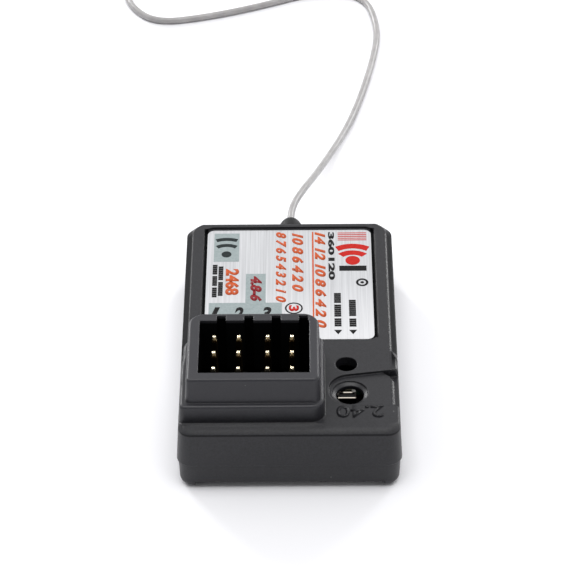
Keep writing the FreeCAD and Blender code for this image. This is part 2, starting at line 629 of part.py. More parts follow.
# Label: printed film in its recess.
label = new_body("label")
film = outline(label, "film_outline", rectangle(
    f"-{LABEL_SIDE}", LABEL_FRONT, LABEL_SIDE, LABEL_REAR, "label_corner"),
    (0, 0, RECESS_FLOOR))
pad(label, "film", film, "label_thick")


def pin_place(column, contact):
    """Middle of a pin. The two headers stand a little apart."""
    header, place = divmod(column, COLUMNS_PER_HEADER)
    x = (f"({PINS_X} + ({header} - 0.5) * ({COLUMNS_PER_HEADER} * pin_pitch + header_gap)"
         f" + ({place} - 0.5) * pin_pitch)")
    y = f"({PINS_Y} + ({contact} - 1) * pin_pitch)"
    return x, y


PIN_PLACES = [(column, contact, *pin_place(column, contact))
              for column in range(COLUMNS) for contact in range(len(CONTACTS))]


def cell_outline(body, name, first_column, width, nick, height):
    """Eight-sided outline round a header's first pin. Its corners are cut by the nick."""
    x, y = pin_place(first_column, 0)
    left, right = f"({x} - {width} / 2)", f"({x} + {width} / 2)"
    front, rear = f"({y} - {width} / 2)", f"({y} + {width} / 2)"
    return outline(body, name, [
        (f"{left} + {nick}", front, None), (f"{right} - {nick}", front, None),
        (right, f"{front} + {nick}", None), (right, f"{rear} - {nick}", None),
        (f"{right} - {nick}", rear, None), (f"{left} + {nick}", rear, None),
        (left, f"{rear} - {nick}", None), (left, f"{front} + {nick}", None),
    ], (0, 0, height))


def even_nick(width):
    """Cut at the corners of a square that leaves eight equal sides."""
    return f"({width} * (1 - tan(22.5 deg)) / 2)"


def at_each_pin(body, name, first, sketch):
    """Copies of a header's first feature at its other pins."""
    return repeat(body, name, first, sketch, COLUMNS_PER_HEADER, "pin_pitch",
                  len(CONTACTS), f"{len(CONTACTS) - 1} * pin_pitch")


def square_holes(body, name, first_column, foot, height):
    """A hole of the pins' own size through each cell of a header."""
    square = centred(*pin_place(first_column, 0), "pin_side", "pin_side")
    hole = outline(body, f"{name}_outline", square, (0, 0, foot))
    first_hole = pocket(body, f"{name}_first", hole, height, None, True)
    at_each_pin(body, name, first_hole, hole)


# Circuit board, with a plated hole for each pin. The holes have eight sides.
board = new_body("circuit_board")
BOARD_HALF = f"({INSIDE_HALF} - board_gap)"
panel = outline(board, "panel_outline", rectangle(
    f"-{BOARD_HALF}", f"{FRONT} + {LOWER_INSIDE} + board_gap",
    BOARD_HALF, f"{REAR} - {LOWER_INSIDE} - board_gap", "board_corner"),
    (0, 0, "board_under"))
pad(board, "panel", panel, "board_thick")
for name, first_column in (("left", 0), ("right", COLUMNS_PER_HEADER)):
    hole = cell_outline(board, f"hole_{name}_outline", first_column, "pin_hole",
                        even_nick("pin_hole"), BOARD_TOP)
    first_hole = pocket(board, f"hole_{name}", hole, "board_thick")
    at_each_pin(board, f"holes_{name}", first_hole, hole)


# Pin headers: moulded insulators of eight-sided cells, one cell to a pin.
for name, first_column in (("left", 0), ("right", COLUMNS_PER_HEADER)):
    insulator = new_body(f"header_base_{name}")
    cell = cell_outline(insulator, f"cell_{name}_outline", first_column, "pin_pitch",
                        "header_nick", BOARD_TOP)
    first_cell = pad(insulator, f"cell_{name}", cell, "header_height")
    at_each_pin(insulator, f"cells_{name}", first_cell, cell)
    square_holes(insulator, f"cell_holes_{name}", first_column, BOARD_TOP, "header_height")


# Contact pins: square wire, pointed at both ends and pressed into the insulators.
PIN_FOOT = "(board_under - pin_tail)"
PIN_HEAD = f"({HEADER_TOP} + pin_reach)"


def pin_edge(sign):
    """One side of a pin from its foot to its head, as corners of an outline."""
    return [(f"{sign} * pin_point / 2", PIN_FOOT, None),
            (f"{sign} * pin_side / 2", f"{PIN_FOOT} + pin_taper", None),
            (f"{sign} * pin_side / 2", f"{PIN_HEAD} - pin_taper", None),
            (f"{sign} * pin_point / 2", PIN_HEAD, None)]


def contact_pin(name, x, y):
    """Pin with its outline as seen from the front, cut to the same one as seen from a side."""
    pin = new_body(name)
    front_view = outline(pin, f"{name}_front_view", pin_edge("-1") + pin_edge("1")[::-1],
                         (x, f"({y} + pin_side)", 0), "XZ")
    pad(pin, f"{name}_wire", front_view, "2 * pin_side")
    for side_name, sign in (("front", "-1"), ("rear", "1")):
        beside = outline(pin, f"{name}_{side_name}_outline", [
            (f"{sign} * 2 * pin_side", PIN_FOOT, None), *pin_edge(sign),
            (f"{sign} * 2 * pin_side", PIN_HEAD, None),
        ], (f"({x} + pin_side)", y, 0), "YZ")
        pocket(pin, f"{name}_{side_name}", beside, "2 * pin_side")


for column, contact, x, y in PIN_PLACES:
    contact_pin(f"pin_port{column + 1}_{CONTACTS[contact]}", x, y)


# Solder fillets under the board, one round each pin. They narrow down the pin.
fillets = new_body("header_solder")
SOLDER_TIP = "(board_under - solder_rise)"
for name, first_column in (("left", 0), ("right", COLUMNS_PER_HEADER)):
    drop = cell_outline(fillets, f"drop_{name}_outline", first_column, "solder_foot",
                        even_nick("solder_foot"), SOLDER_TIP)
    first_drop = pad(fillets, f"drop_{name}", drop, "solder_rise")
    drops = at_each_pin(fillets, f"drops_{name}", first_drop, drop)
doc.recompute()
faces = [(f"Face{number}", face.normalAt(0, 0).z)
         for number, face in enumerate(drops.Shape.Faces, 1)]
leaning = fillets.newObject("PartDesign::Draft", "drops_leaning")
leaning.Base = (drops, [name for name, rise in faces if abs(rise) < TINY])
leaning.NeutralPlane = (drops, [next(name for name, rise in faces if rise > 1 - TINY)])
tie(leaning, Angle="atan((solder_foot - solder_top) / 2 / solder_rise)")
leaning.Reversed = True
for name, first_column in (("left", 0), ("right", COLUMNS_PER_HEADER)):
    square_holes(fillets, f"drop_holes_{name}", first_column, SOLDER_TIP, "solder_rise")


# Push switch: a moulded body open at the top, a snap dome on its floor, a plunger, and a
# sheet metal cover whose drawn collar guides the plunger.
SWITCH_TOP = f"({BOARD_TOP} + switch_height)"
DOME_SEAT = f"({BOARD_TOP} + dome_seat)"
POCKET_WIDTH = "(switch_width - 2 * switch_wall)"
POCKET_DEPTH = "(switch_depth - 2 * switch_wall)"
COLLAR_TOP = f"({SWITCH_TOP} + cover_thick + collar_rise)"
BORE_WIDTH = "(collar_width - 2 * cover_thick)"
BORE_DEPTH = "(collar_depth - 2 * cover_thick)"

switch = new_body("switch_body")
housing = outline(switch, "housing_outline", centred(*SWITCH, "switch_width", "switch_depth"),
                  (0, 0, BOARD_TOP))
pad(switch, "housing", housing, "switch_height")
chamber = outline(switch, "chamber_outline", centred(*SWITCH, POCKET_WIDTH, POCKET_DEPTH),
                  (0, 0, SWITCH_TOP))
pocket(switch, "chamber", chamber, "switch_height - dome_seat")

cover = new_body("switch_cover")
plate = outline(cover, "plate_outline", centred(*SWITCH, "switch_width", "switch_depth"),
                (0, 0, SWITCH_TOP))
pad(cover, "plate", plate, "cover_thick")
collar = outline(cover, "collar_outline", centred(*SWITCH, "collar_width", "collar_depth"),
                 (0, 0, SWITCH_TOP))
pad(cover, "collar", collar, "cover_thick + collar_rise")
collar_bore = outline(cover, "collar_bore_outline", centred(*SWITCH, BORE_WIDTH, BORE_DEPTH),
                      (0, 0, COLLAR_TOP))
pocket(cover, "collar_bore", collar_bore, "cover_thick + collar_rise")
for tab_name, tab_x in (("tab_left", f"({SWITCH[0]} - (switch_width + cover_thick) / 2)"),
                        ("tab_right", f"({SWITCH[0]} + (switch_width + cover_thick) / 2)")):
    tab = outline(cover, f"{tab_name}_outline", centred(tab_x, SWITCH[1], "cover_thick", "tab_width"),
                  (0, 0, f"{SWITCH_TOP} + cover_thick"))
    pad(cover, tab_name, tab, "tab_length", None, True)

plunger = new_body("switch_plunger")
FLANGE_TOP = f"({SWITCH_TOP} - plunger_gap)"
NUB_FOOT = f"({DOME_SEAT} + dome_rise + plunger_gap)"
flange = outline(plunger, "plunger_flange_outline", centred(
    *SWITCH, f"{POCKET_WIDTH} - 2 * fit_gap", f"{POCKET_DEPTH} - 2 * fit_gap"), (0, 0, FLANGE_TOP))
pad(plunger, "plunger_flange_pad", flange, "plunger_flange", None, True)
stem = outline(plunger, "stem_outline", centred(
    *SWITCH, f"{BORE_WIDTH} - 2 * plunger_gap", f"{BORE_DEPTH} - 2 * plunger_gap"),
    (0, 0, FLANGE_TOP))
pad(plunger, "stem", stem, f"{COLLAR_TOP} - plunger_drop - {FLANGE_TOP}")
nub = circles(plunger, "nub_outline", [(*SWITCH, "plunger_nub")], (0, 0, NUB_FOOT))
pad(plunger, "nub", nub, f"{FLANGE_TOP} - plunger_flange / 2 - {NUB_FOOT}")

# The snap dome is a thin cap of a sphere that stands on its edge.
DOME_RADIUS = "((dome_size ^ 2 / 4 + dome_rise ^ 2) / (2 * dome_rise))"
ball = doc.addObject("Part::Sphere", "dome_outside")
inner_ball = doc.addObject("Part::Sphere", "dome_inside")
tie(ball, Radius=DOME_RADIUS)
tie(inner_ball, Radius=f"{DOME_RADIUS} - dome_thick")
for sphere in (ball, inner_ball):
    for axis, place in zip("xyz", (*SWITCH, f"{DOME_SEAT} + dome_rise - {DOME_RADIUS}")):
        sphere.setExpression(f"Placement.Base.{axis}", bound(place))
bowl = doc.addObject("Part::Cut", "dome_bowl")
bowl.Base = ball
bowl.Tool = inner_ball
above_seat = block("dome_space", f"{SWITCH[0]} - dome_size", f"{SWITCH[1]} - dome_size", DOME_SEAT,
                   "2 * dome_size", "2 * dome_size", "2 * dome_rise")
dome = doc.addObject("Part::Common", "switch_dome")
dome.Label = "switch_dome"
dome.Base = bowl
dome.Tool = above_seat
nodes.append(dome)

# Four bent legs hold the switch to the board.
legs = new_body("switch_terminals")
for side_name, sign in (("left", "-1"), ("right", "1")):
    for row_name, row in (("front", "-1"), ("rear", "1")):
        root = "(switch_width / 2)"
        leg = outline(legs, f"leg_{side_name}_{row_name}_outline", [
            (f"{sign} * {root}", 0, None),
            (f"{sign} * ({root} + leg_reach)", 0, None),
            (f"{sign} * ({root} + leg_reach)", "leg_thick", None),
            (f"{sign} * ({root} + leg_thick)", "leg_thick", None),
            (f"{sign} * ({root} + leg_thick)", "4 * leg_thick", None),
            (f"{sign} * {root}", "4 * leg_thick", None),
        ], (SWITCH[0], f"({SWITCH[1]} + {row} * leg_spacing / 2 + leg_width / 2)", BOARD_TOP), "XZ")
        pad(legs, f"leg_{side_name}_{row_name}", leg, "leg_width")


# Indicator: a chip lamp with a clear lens on its base.
light_base = new_body("led_base")
lamp = outline(light_base, "lamp_outline", centred(*LIGHT, "light_width", "light_depth"),
               (0, 0, BOARD_TOP))
pad(light_base, "lamp", lamp, "light_base")
lens = new_body("led_lens")
lens_outline = outline(lens, "lens_outline", centred(*LIGHT, "lens_width", "light_depth"),
                       (0, 0, f"{BOARD_TOP} + light_base"))
pad(lens, "lens_block", lens_outline, "lens_height", "package_draft")


# Parts on the board. The first ones stand behind the socket block, and the supply's parts
# keep their distance to the rear face.
def behind_block(x, y):
    return f"({x})", f"({RIM_REAR} + {y})"


def ahead_of_rear(x, y):
    return f"({x})", f"({REAR} - {y})"


def package(name, place, width, depth, height):
    """Moulded package with leaning sides and a round mark at its first contact."""
    body = new_body(name)
    base = outline(body, f"{name}_outline", centred(*place, width, depth), (0, 0, BOARD_TOP))
    pad(body, f"{name}_block", base, height, "package_draft")
    mark = circles(body, f"{name}_mark_outline", [
        (f"{place[0]} - {width} / 2 + index_mark", f"{place[1]} - {depth} / 2 + index_mark",
         "index_mark")], (0, 0, f"{BOARD_TOP} + {height}"))
    pocket(body, f"{name}_mark", mark, "index_depth")


def small_part(name, place, width, depth, height, rounding=None):
    """Plain part, with rounded upright edges where it has a rounding."""
    body = new_body(name)
    base = outline(body, f"{name}_outline", centred(*place, width, depth, rounding),
                   (0, 0, BOARD_TOP))
    return body, base, pad(body, f"{name}_block", base, height)


package("processor_chip", behind_block("processor_x", "processor_y"),
        "processor_side", "processor_side", "package_height")
package("radio_chip", behind_block("radio_x", "radio_y"),
        "radio_side", "radio_side", "package_height")
package("voltage_regulator", ahead_of_rear("regulator_x", "regulator_y"),
        "regulator_width", "regulator_depth", "regulator_height")
package("bulk_capacitor", behind_block("capacitor_x", "capacitor_y"),
        "capacitor_width", "capacitor_depth", "capacitor_height")
small_part("crystal", behind_block("crystal_x", "crystal_y"),
           "crystal_width", "crystal_depth", "crystal_height", "crystal_height / 2")
small_part("ferrite_bead", ahead_of_rear("bead_x", "bead_y"),
           "bead_width", "bead_depth", "bead_height")

CAPACITORS = 6
RESISTORS = 4
for row_name, row_x, count in (("chip_capacitors", f"{SIDE} - chips_x", CAPACITORS),
                               ("chip_resistors", f"chips_x - {SIDE}", RESISTORS)):
    chips, chip_outline, first_chip = small_part(
        row_name, behind_block(row_x, "chips_y"), "chip_length", "chip_width", "chip_height")
    row_of_chips = chips.newObject("PartDesign::LinearPattern", f"{row_name}_row")
    row_of_chips.Originals = [first_chip]
    row_of_chips.Direction = (chip_outline, ["V_Axis"])
    row_of_chips.Occurrences = count
    tie(row_of_chips, Length=f"{count - 1} * chip_pitch")
    chips.Tip = row_of_chips


# Antenna boot: a turned shape round the lead, with a neck through the wall's hole and a flat
# flange that holds it from inside.
TIP = f"({REAR} + boot_reach)"
FLANGE_FACE = f"({REAR} - wall - ({INNER_ROOF} - seam_height) * tan(side_draft * 1 deg))"
boot = new_body("antenna_boot")
boot_profile = outline(boot, "boot_profile", [
    (FLANGE_FACE, 0, None),
    (TIP, 0, None),
    (TIP, "boot_tip / 2", None),
    (f"{TIP} - boot_taper", "boot_base / 2", "boot_round"),
    (BOOT_SEAT, "boot_base / 2", None),
    (BOOT_SEAT, "boot_neck / 2", None),
    (FLANGE_FACE, "boot_neck / 2", None),
], ("lead_x", 0, "lead_height"), "YZ")
turned = boot.newObject("PartDesign::Revolution", "boot_body")
turned.Profile = boot_profile
turned.ReferenceAxis = (boot_profile, ["H_Axis"])
turned.Angle = 360
boot_flange = outline(boot, "boot_flange_outline", rectangle(
    "-flange_width / 2", "-flange_drop", "flange_width / 2",
    f"{INNER_ROOF} - fit_gap - lead_height"), ("lead_x", FLANGE_FACE, "lead_height"), "XZ")
pad(boot, "boot_flange", boot_flange, "flange_thick")
boot_bore = circles(boot, "boot_bore_outline", [(0, 0, "lead_size")],
                    ("lead_x", TIP, "lead_height"), "XZ")
pocket(boot, "boot_bore", boot_bore, f"{TIP} - {FLANGE_FACE} + flange_thick", None, True)


# Leads: eight-sided rods along straight runs that tangent arcs join. Each arc takes this share
# of the shorter of its two runs.
BEND_SHARE = 0.45
LEAD_SIDES = 8


def tube(points, diameter):
    """Solid along a route, with the radii of its bends."""
    corners = [FreeCAD.Vector(*point) for point in points]
    edges = []
    radii = []
    start = corners[0]
    for before, corner, after in zip(corners, corners[1:], corners[2:]):
        back = before - corner
        ahead = after - corner
        reach = BEND_SHARE * min(back.Length, ahead.Length)
        half_turn = (math.pi - back.getAngle(ahead)) / 2
        radius = reach / math.tan(half_turn)
        back.normalize()
        ahead.normalize()
        inward = (back + ahead).normalize()
        crown = corner + inward * (radius / math.cos(half_turn) - radius)
        edges.append(Part.LineSegment(start, corner + back * reach).toShape())
        edges.append(Part.Arc(corner + back * reach, crown, corner + ahead * reach).toShape())
        start = corner + ahead * reach
        radii.append(radius)
    edges.append(Part.LineSegment(start, corners[-1]).toShape())
    path = Part.Wire(edges)
    across = FreeCAD.Rotation(FreeCAD.Vector(0, 0, 1), corners[1] - corners[0])
    ring = []
    for side in range(LEAD_SIDES + 1):
        turn = 2 * math.pi * (side + 0.5) / LEAD_SIDES
        spoke = FreeCAD.Vector(math.cos(turn), math.sin(turn), 0) * (diameter / 2)
        ring.append(corners[0] + across.multVec(spoke))
    section = Part.makePolygon(ring)
    return path.makePipeShell([section], True, False), path.Length, radii


def lead(name, points, diameter):
    """A lead as a sub-part. Its volume is held against its section times its length."""
    solid, length, radii = tube(points, diameter)
    expected = LEAD_SIDES / 8 * math.sin(2 * math.pi / LEAD_SIDES) * diameter ** 2 * length
    if abs(solid.Volume - expected) > expected / 100:
        raise RuntimeError(f"{name} lost volume along its route")
    print(f"{name}: {length:.1f} mm long, bends of radius {', '.join(f'{r:.1f}' for r in radii)}")
    made = doc.addObject("Part::Feature", name)
    made.Label = name
    made.Shape = solid
    nodes.append(made)
    return made


# Inside the case, the lead runs level behind the boot and then comes down to the board.
exit_x = size("lead_x")
exit_y = size(TIP)
exit_z = size("lead_height")
board_line = size(f"{BOARD_TOP} + lead_size / 2")
level_end = size(f"{REAR} - lead_level")
slope_end = level_end - size("lead_slope")
lead_end = slope_end - size("lead_rest")
inner_lead = lead("antenna_lead", [
    (exit_x, exit_y, exit_z),
    (exit_x, level_end, exit_z),
    (exit_x, slope_end, board_line),
    (exit_x, lead_end, board_line),
], size("lead_size"))
core = Part.makeCylinder(size("bared_core") / 2, size("joint_gap"),
                         FreeCAD.Vector(exit_x, lead_end, board_line), FreeCAD.Vector(0, -1, 0))
inner_lead.Shape = inner_lead.Shape.fuse(core)

# Solder joints: one at the end of the lead's core, and one on each side for its braid.
solder = new_body("antenna_solder")
LEAD_END = f"({REAR} - lead_level - lead_slope - lead_rest)"
core_joint = outline(solder, "core_joint_outline", centred(
    "lead_x", f"({LEAD_END} - joint_gap - joint_side / 2)", "joint_side", "joint_side",
    "joint_side / 4"), (0, 0, BOARD_TOP))
pad(solder, "core_joint", core_joint, "joint_side")
for joint_name, joint_x in (("left", "(lead_x - (lead_size + joint_side) / 2)"),
                            ("right", "(lead_x + (lead_size + joint_side) / 2)")):
    braid_joint = outline(solder, f"braid_joint_{joint_name}_outline", centred(
        joint_x, f"({LEAD_END} + joint_side)", "joint_side", "joint_side"), (0, 0, BOARD_TOP))
    pad(solder, f"braid_joint_{joint_name}", braid_joint, "lead_size / 2")

# Outside, the lead droops to the floor and lies there in a loose loop, and its last stretch
# is the bared core. Places are across and behind the boot's tip, and above the floor.
WIRE_ON_FLOOR = 0.42
CORE_ON_FLOOR = 0.27
WIRE_ROUTE = [
    (0.0, 0.0, exit_z), (0.0, 2.6, exit_z), (1.4, 7.1, 5.3), (2.75, 11.8, 3.8),
    (4.55, 18.4, 1.9), (6.75, 25.7, 0.6), (8.65, 32.7, WIRE_ON_FLOOR),
    (10.55, 42.0, WIRE_ON_FLOOR), (11.25, 48.7, WIRE_ON_FLOOR), (9.65, 56.6, WIRE_ON_FLOOR),
    (3.15, 57.4, WIRE_ON_FLOOR), (-4.05, 54.0, WIRE_ON_FLOOR), (-10.95, 51.5, WIRE_ON_FLOOR),
    (-17.35, 50.2, WIRE_ON_FLOOR), (-20.85, 53.9, WIRE_ON_FLOOR), (-21.95, 59.1, WIRE_ON_FLOOR),
    (-20.55, 64.0, WIRE_ON_FLOOR), (-15.15, 67.4, WIRE_ON_FLOOR), (-8.75, 67.25, WIRE_ON_FLOOR),
]
CORE_ROUTE = [
    (-8.75, 67.25, WIRE_ON_FLOOR), (-3.45, 66.8, CORE_ON_FLOOR), (3.15, 65.9, CORE_ON_FLOOR),
    (9.75, 65.8, CORE_ON_FLOOR), (16.15, 66.5, CORE_ON_FLOOR), (21.4, 66.0, CORE_ON_FLOOR),
]


def behind_boot(route):
    """A route's points in the part's own frame."""
    return [(exit_x + across, exit_y + behind, height) for across, behind, height in route]


lead("antenna_wire", behind_boot(WIRE_ROUTE), size("lead_size"))
lead("antenna_tip", behind_boot(CORE_ROUTE), size("core_size"))


# Nothing is written unless every object has been worked out and every sub-part is sound.
doc.recompute()
faults = [f"{thing.Label}: {thing.State}" for thing in doc.Objects
          if "Invalid" in thing.State or "Error" in thing.State]
faults += [f"{node.Label}: no sound shape" for node in nodes
           if node.Shape.isNull() or not node.Shape.isValid()]
for kind in ("PartDesign::Pocket", "PartDesign::Groove"):
    faults += [f"{cut.Label}: cuts nothing" for cut in doc.findObjects(kind)
               if cut.Shape.Volume > cut.BaseFeature.Shape.Volume - TINY ** 2]
if faults:
    raise RuntimeError("; ".join(faults))

os.makedirs("parts", exist_ok=True)
for node in nodes:
    node.Shape.exportStep(f"parts/{node.Label}.step")
    print(f"{node.Label}: {node.Shape.Volume:.2f} mm3, {len(node.Shape.Solids)} solid(s)")
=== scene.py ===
import math

import bpy
from mathutils import Matrix, Vector


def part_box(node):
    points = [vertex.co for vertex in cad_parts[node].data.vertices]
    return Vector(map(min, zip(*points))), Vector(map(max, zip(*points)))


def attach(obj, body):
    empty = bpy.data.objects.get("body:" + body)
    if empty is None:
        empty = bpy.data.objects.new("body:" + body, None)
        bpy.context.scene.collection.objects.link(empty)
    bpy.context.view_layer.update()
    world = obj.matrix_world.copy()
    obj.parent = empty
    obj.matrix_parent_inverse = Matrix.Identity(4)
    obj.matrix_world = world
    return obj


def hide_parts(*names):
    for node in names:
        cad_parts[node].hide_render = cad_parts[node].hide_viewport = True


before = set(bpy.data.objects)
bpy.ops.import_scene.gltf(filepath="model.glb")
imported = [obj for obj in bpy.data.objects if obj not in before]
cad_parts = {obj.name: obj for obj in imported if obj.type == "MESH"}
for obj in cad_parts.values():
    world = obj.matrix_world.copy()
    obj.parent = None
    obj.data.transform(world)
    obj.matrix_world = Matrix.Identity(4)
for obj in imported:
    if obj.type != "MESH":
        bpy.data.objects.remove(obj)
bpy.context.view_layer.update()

# A small radio control receiver on a pale table: a moulded black case with a socket block, a
# silvery label, and an antenna lead that leaves the rear wall and lies behind it in a loose loop.
MM = 0.001

# The camera looks down on the socket end with a long lens, square in frame, and is hardly
# turned or tipped. It stands about three tenths of a metre away. Its angles are in degrees.
CAMERA_PLACE = Vector((1.514, -223.10, 189.70)) * MM
CAMERA_HEADING = 0.414
CAMERA_DOWN = 38.597
CAMERA_ROLL = -0.621
CAMERA_LENS = 167.54
SENSOR = 36.0

camera_data = bpy.data.cameras.new("camera")
camera_data.sensor_width = SENSOR
camera_data.lens = CAMERA_LENS
camera_data.clip_start = 10 * MM
camera = bpy.data.objects.new("camera", camera_data)
bpy.context.scene.collection.objects.link(camera)
camera.matrix_world = Matrix.Translation(CAMERA_PLACE) @ (
    Matrix.Rotation(math.radians(CAMERA_HEADING), 4, "Z")
    @ Matrix.Rotation(math.radians(90 - CAMERA_DOWN), 4, "X")
    @ Matrix.Rotation(math.radians(CAMERA_ROLL), 4, "Z"))
bpy.context.scene.camera = camera
bpy.context.scene.view_settings.view_transform = "Standard"


# Antenna lead: thin coaxial cable in a clear grey fluoropolymer jacket, extruded over its braid.
# It comes out of the boot, droops to the table and lies there in a loose loop. Its last stretch
# is stripped to the milky insulation of the core, which is the part that receives.
WIRE_SIZE = 0.81 * MM
CORE_SIZE = 0.5 * MM
WIRE_ON_FLOOR = 0.42
CORE_ON_FLOOR = 0.27
EXIT_HEIGHT = 6.0
WIRE_ROUTE = [
    (0.0, 0.0, EXIT_HEIGHT), (0.0, 2.6, EXIT_HEIGHT), (1.4, 7.1, 5.3), (2.75, 11.8, 3.8),
    (4.55, 18.4, 1.9), (6.75, 25.7, 0.6), (8.65, 32.7, WIRE_ON_FLOOR),
    (10.55, 42.0, WIRE_ON_FLOOR), (11.25, 48.7, WIRE_ON_FLOOR), (9.65, 56.6, WIRE_ON_FLOOR),
    (3.15, 57.4, WIRE_ON_FLOOR), (-4.05, 54.0, WIRE_ON_FLOOR), (-10.95, 51.5, WIRE_ON_FLOOR),
    (-17.35, 50.2, WIRE_ON_FLOOR), (-20.85, 53.9, WIRE_ON_FLOOR), (-21.95, 59.1, WIRE_ON_FLOOR),
    (-20.55, 64.0, WIRE_ON_FLOOR), (-15.15, 67.4, WIRE_ON_FLOOR), (-8.75, 67.25, WIRE_ON_FLOOR),
]
CORE_ROUTE = [
    (-8.75, 67.25, WIRE_ON_FLOOR), (-3.45, 66.8, CORE_ON_FLOOR), (3.15, 65.9, CORE_ON_FLOOR),
    (9.75, 65.8, CORE_ON_FLOOR), (16.15, 66.5, CORE_ON_FLOOR), (21.4, 66.0, CORE_ON_FLOOR),
]
boot_low, boot_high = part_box("antenna_boot")
exit_across = (boot_low.x + boot_high.x) / 2
exit_along = boot_high.y


def linear(code):
    """An sRGB hex colour as the linear numbers that a shader takes."""
    shares = [int(code[place:place + 2], 16) / 255 for place in (1, 3, 5)]
    return [share / 12.92 if share <= 0.04045 else ((share + 0.055) / 1.055) ** 2.4
            for share in shares] + [1.0]


def add(tree, kind, sockets=None, **settings):
    """Add a node. Settings are its properties; sockets get a value or another node's output."""
    made = tree.nodes.new(kind)
    for name, value in settings.items():
        setattr(made, name, value)
    for socket, value in (sockets or {}).items():
        if isinstance(value, bpy.types.NodeSocket):
            tree.links.new(value, made.inputs[socket])
        else:
            made.inputs[socket].default_value = value
    return made


def new_finish(name, **constants):
    """Material with one Principled shader. Constants are its sockets, spaces as underscores."""
    material = bpy.data.materials.new(name)
    material.use_nodes = True
    shader = material.node_tree.nodes["Principled BSDF"]
    for socket, value in constants.items():
        shader.inputs[socket.replace("_", " ")].default_value = value
    return material, material.node_tree, shader


def per_metre(size_in_mm):
    """Pattern scale for a grain of this size, on Object coordinates in metres."""
    return 1000 / size_in_mm


def mottle(tree, coordinates, scale, dark, light, detail=3.0, harshness=0.5, ends=(0.3, 0.7)):
    """Noise, and the colour that it makes by drifting between two colours."""
    noise = add(tree, "ShaderNodeTexNoise", {
        "Vector": coordinates, "Scale": scale, "Detail": detail, "Roughness": harshness})
    ramp = add(tree, "ShaderNodeValToRGB", {"Fac": noise.outputs["Fac"]})
    for element, end, code in zip(ramp.color_ramp.elements, ends, (dark, light)):
        element.position = end
        element.color = linear(code)
    return noise.outputs["Fac"], ramp.outputs["Color"]


def vary(tree, shader, coordinates, grain, dark, light):
    """Base colour that drifts between two colours in patches of a size in millimetres."""
    colour = mottle(tree, coordinates, per_metre(grain), dark, light)[1]
    tree.links.new(colour, shader.inputs["Base Color"])


def roughen(tree, shader, coordinates, grain, low, high):
    """Roughness that wanders between two values in patches of a size in millimetres."""
    noise = add(tree, "ShaderNodeTexNoise", {
        "Vector": coordinates, "Scale": per_metre(grain), "Detail": 2.0})
    span = add(tree, "ShaderNodeMapRange", {
        "Value": noise.outputs["Fac"], "To Min": low, "To Max": high})
    tree.links.new(span.outputs["Result"], shader.inputs["Roughness"])
    return span.outputs["Result"]


def emboss(tree, shader, coordinates, grain, height, strength=1.0, normal=None):
    """Bump of a grain, both its width and its height in millimetres."""
    noise = add(tree, "ShaderNodeTexNoise", {
        "Vector": coordinates, "Scale": per_metre(grain), "Detail": 2.0})
    sockets = {"Height": noise.outputs["Fac"], "Strength": strength, "Distance": height * MM}
    if normal is not None:
        sockets["Normal"] = normal
    bump = add(tree, "ShaderNodeBump", sockets)
    tree.links.new(bump.outputs["Normal"], shader.inputs["Normal"])


def object_place(tree):
    """Object coordinates, in metres, for patterns that keep their size."""
    return add(tree, "ShaderNodeTexCoord").outputs["Object"]


def lead_jacket():
    """Extruded fluoropolymer: smooth, waxy and slightly clear, with the braid grey below."""
    material, tree, shader = new_finish(
        "lead_jacket", IOR=1.40, Roughness=0.32, Subsurface_Weight=0.15, Coat_Weight=0.2,
        Coat_Roughness=0.2)
    shader.inputs["Subsurface Scale"].default_value = 0.3 * MM
    shader.inputs["Subsurface Radius"].default_value = (1.0, 1.0, 1.0)
    place = object_place(tree)
    vary(tree, shader, place, 1.6, "#9b9999", "#adabab")
    emboss(tree, shader, place, 0.5, 0.01)
    return material


def lead_core():
    """Clear insulation over the silvered core wire: paler and glossier than the jacket."""
    material, tree, shader = new_finish(
        "lead_core", IOR=1.38, Roughness=0.22, Subsurface_Weight=0.25)
    shader.inputs["Subsurface Scale"].default_value = 0.3 * MM
    shader.inputs["Subsurface Radius"].default_value = (1.0, 0.95, 0.9)
    place = object_place(tree)
    vary(tree, shader, place, 1.2, "#b9b5ac", "#ccc8c0")
    return material


def cord(name, route, diameter, material):
    """Round cord on a smooth line whose control points are the route's."""
    line = bpy.data.curves.new(name, "CURVE")
    line.dimensions = "3D"
    line.resolution_u = 12
    line.bevel_depth = diameter / 2
    line.bevel_resolution = 6
    line.use_fill_caps = True
    spline = line.splines.new("NURBS")
    spline.points.add(len(route) - 1)
    for point, (across, behind, height) in zip(spline.points, route):
        point.co = (exit_across + across * MM, exit_along + behind * MM, height * MM, 1.0)
    spline.order_u = 3
    spline.use_endpoint_u = True
    line.materials.append(material)
    piece = bpy.data.objects.new(name, line)
    bpy.context.scene.collection.objects.link(piece)
    return piece


wire = cord("antenna_lead_outside", WIRE_ROUTE, WIRE_SIZE, lead_jacket())
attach(wire, "receiver")
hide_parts("antenna_wire")
tip = cord("antenna_bared_end", CORE_ROUTE, CORE_SIZE, lead_core())
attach(tip, "receiver")
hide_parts("antenna_tip")


# Table and light. The table is a white sheet. The light is a white tent, bright above, behind
# and at the sides, dim along the horizon, and open and dark where the camera looks in.
TABLE_SIZE = 1.6
TABLE_WHITE = "#f9f9fc"
TENT_WHITE = "#ffffff"
TENT_DIM = "#303030"
TENT_STRENGTH = 0.75
HORIZON_RISE = (0.02, 0.36)
OPENING = (0.0, -0.76, 0.65)
OPENING_EDGE = (0.80, 0.95)
# Each lamp's place, width and height in metres, its watts, and its share for matt surfaces.
LAMPS = {
    "top_light": ((0.0, -0.10, 0.70), 0.45, 0.45, 2.7, 1.0),
    "left_rear_light": ((-0.42, 0.60, 0.30), 0.18, 0.26, 2.5, 0.1),
    "right_rear_light": ((0.42, 0.60, 0.30), 0.18, 0.26, 1.5, 0.1),
}

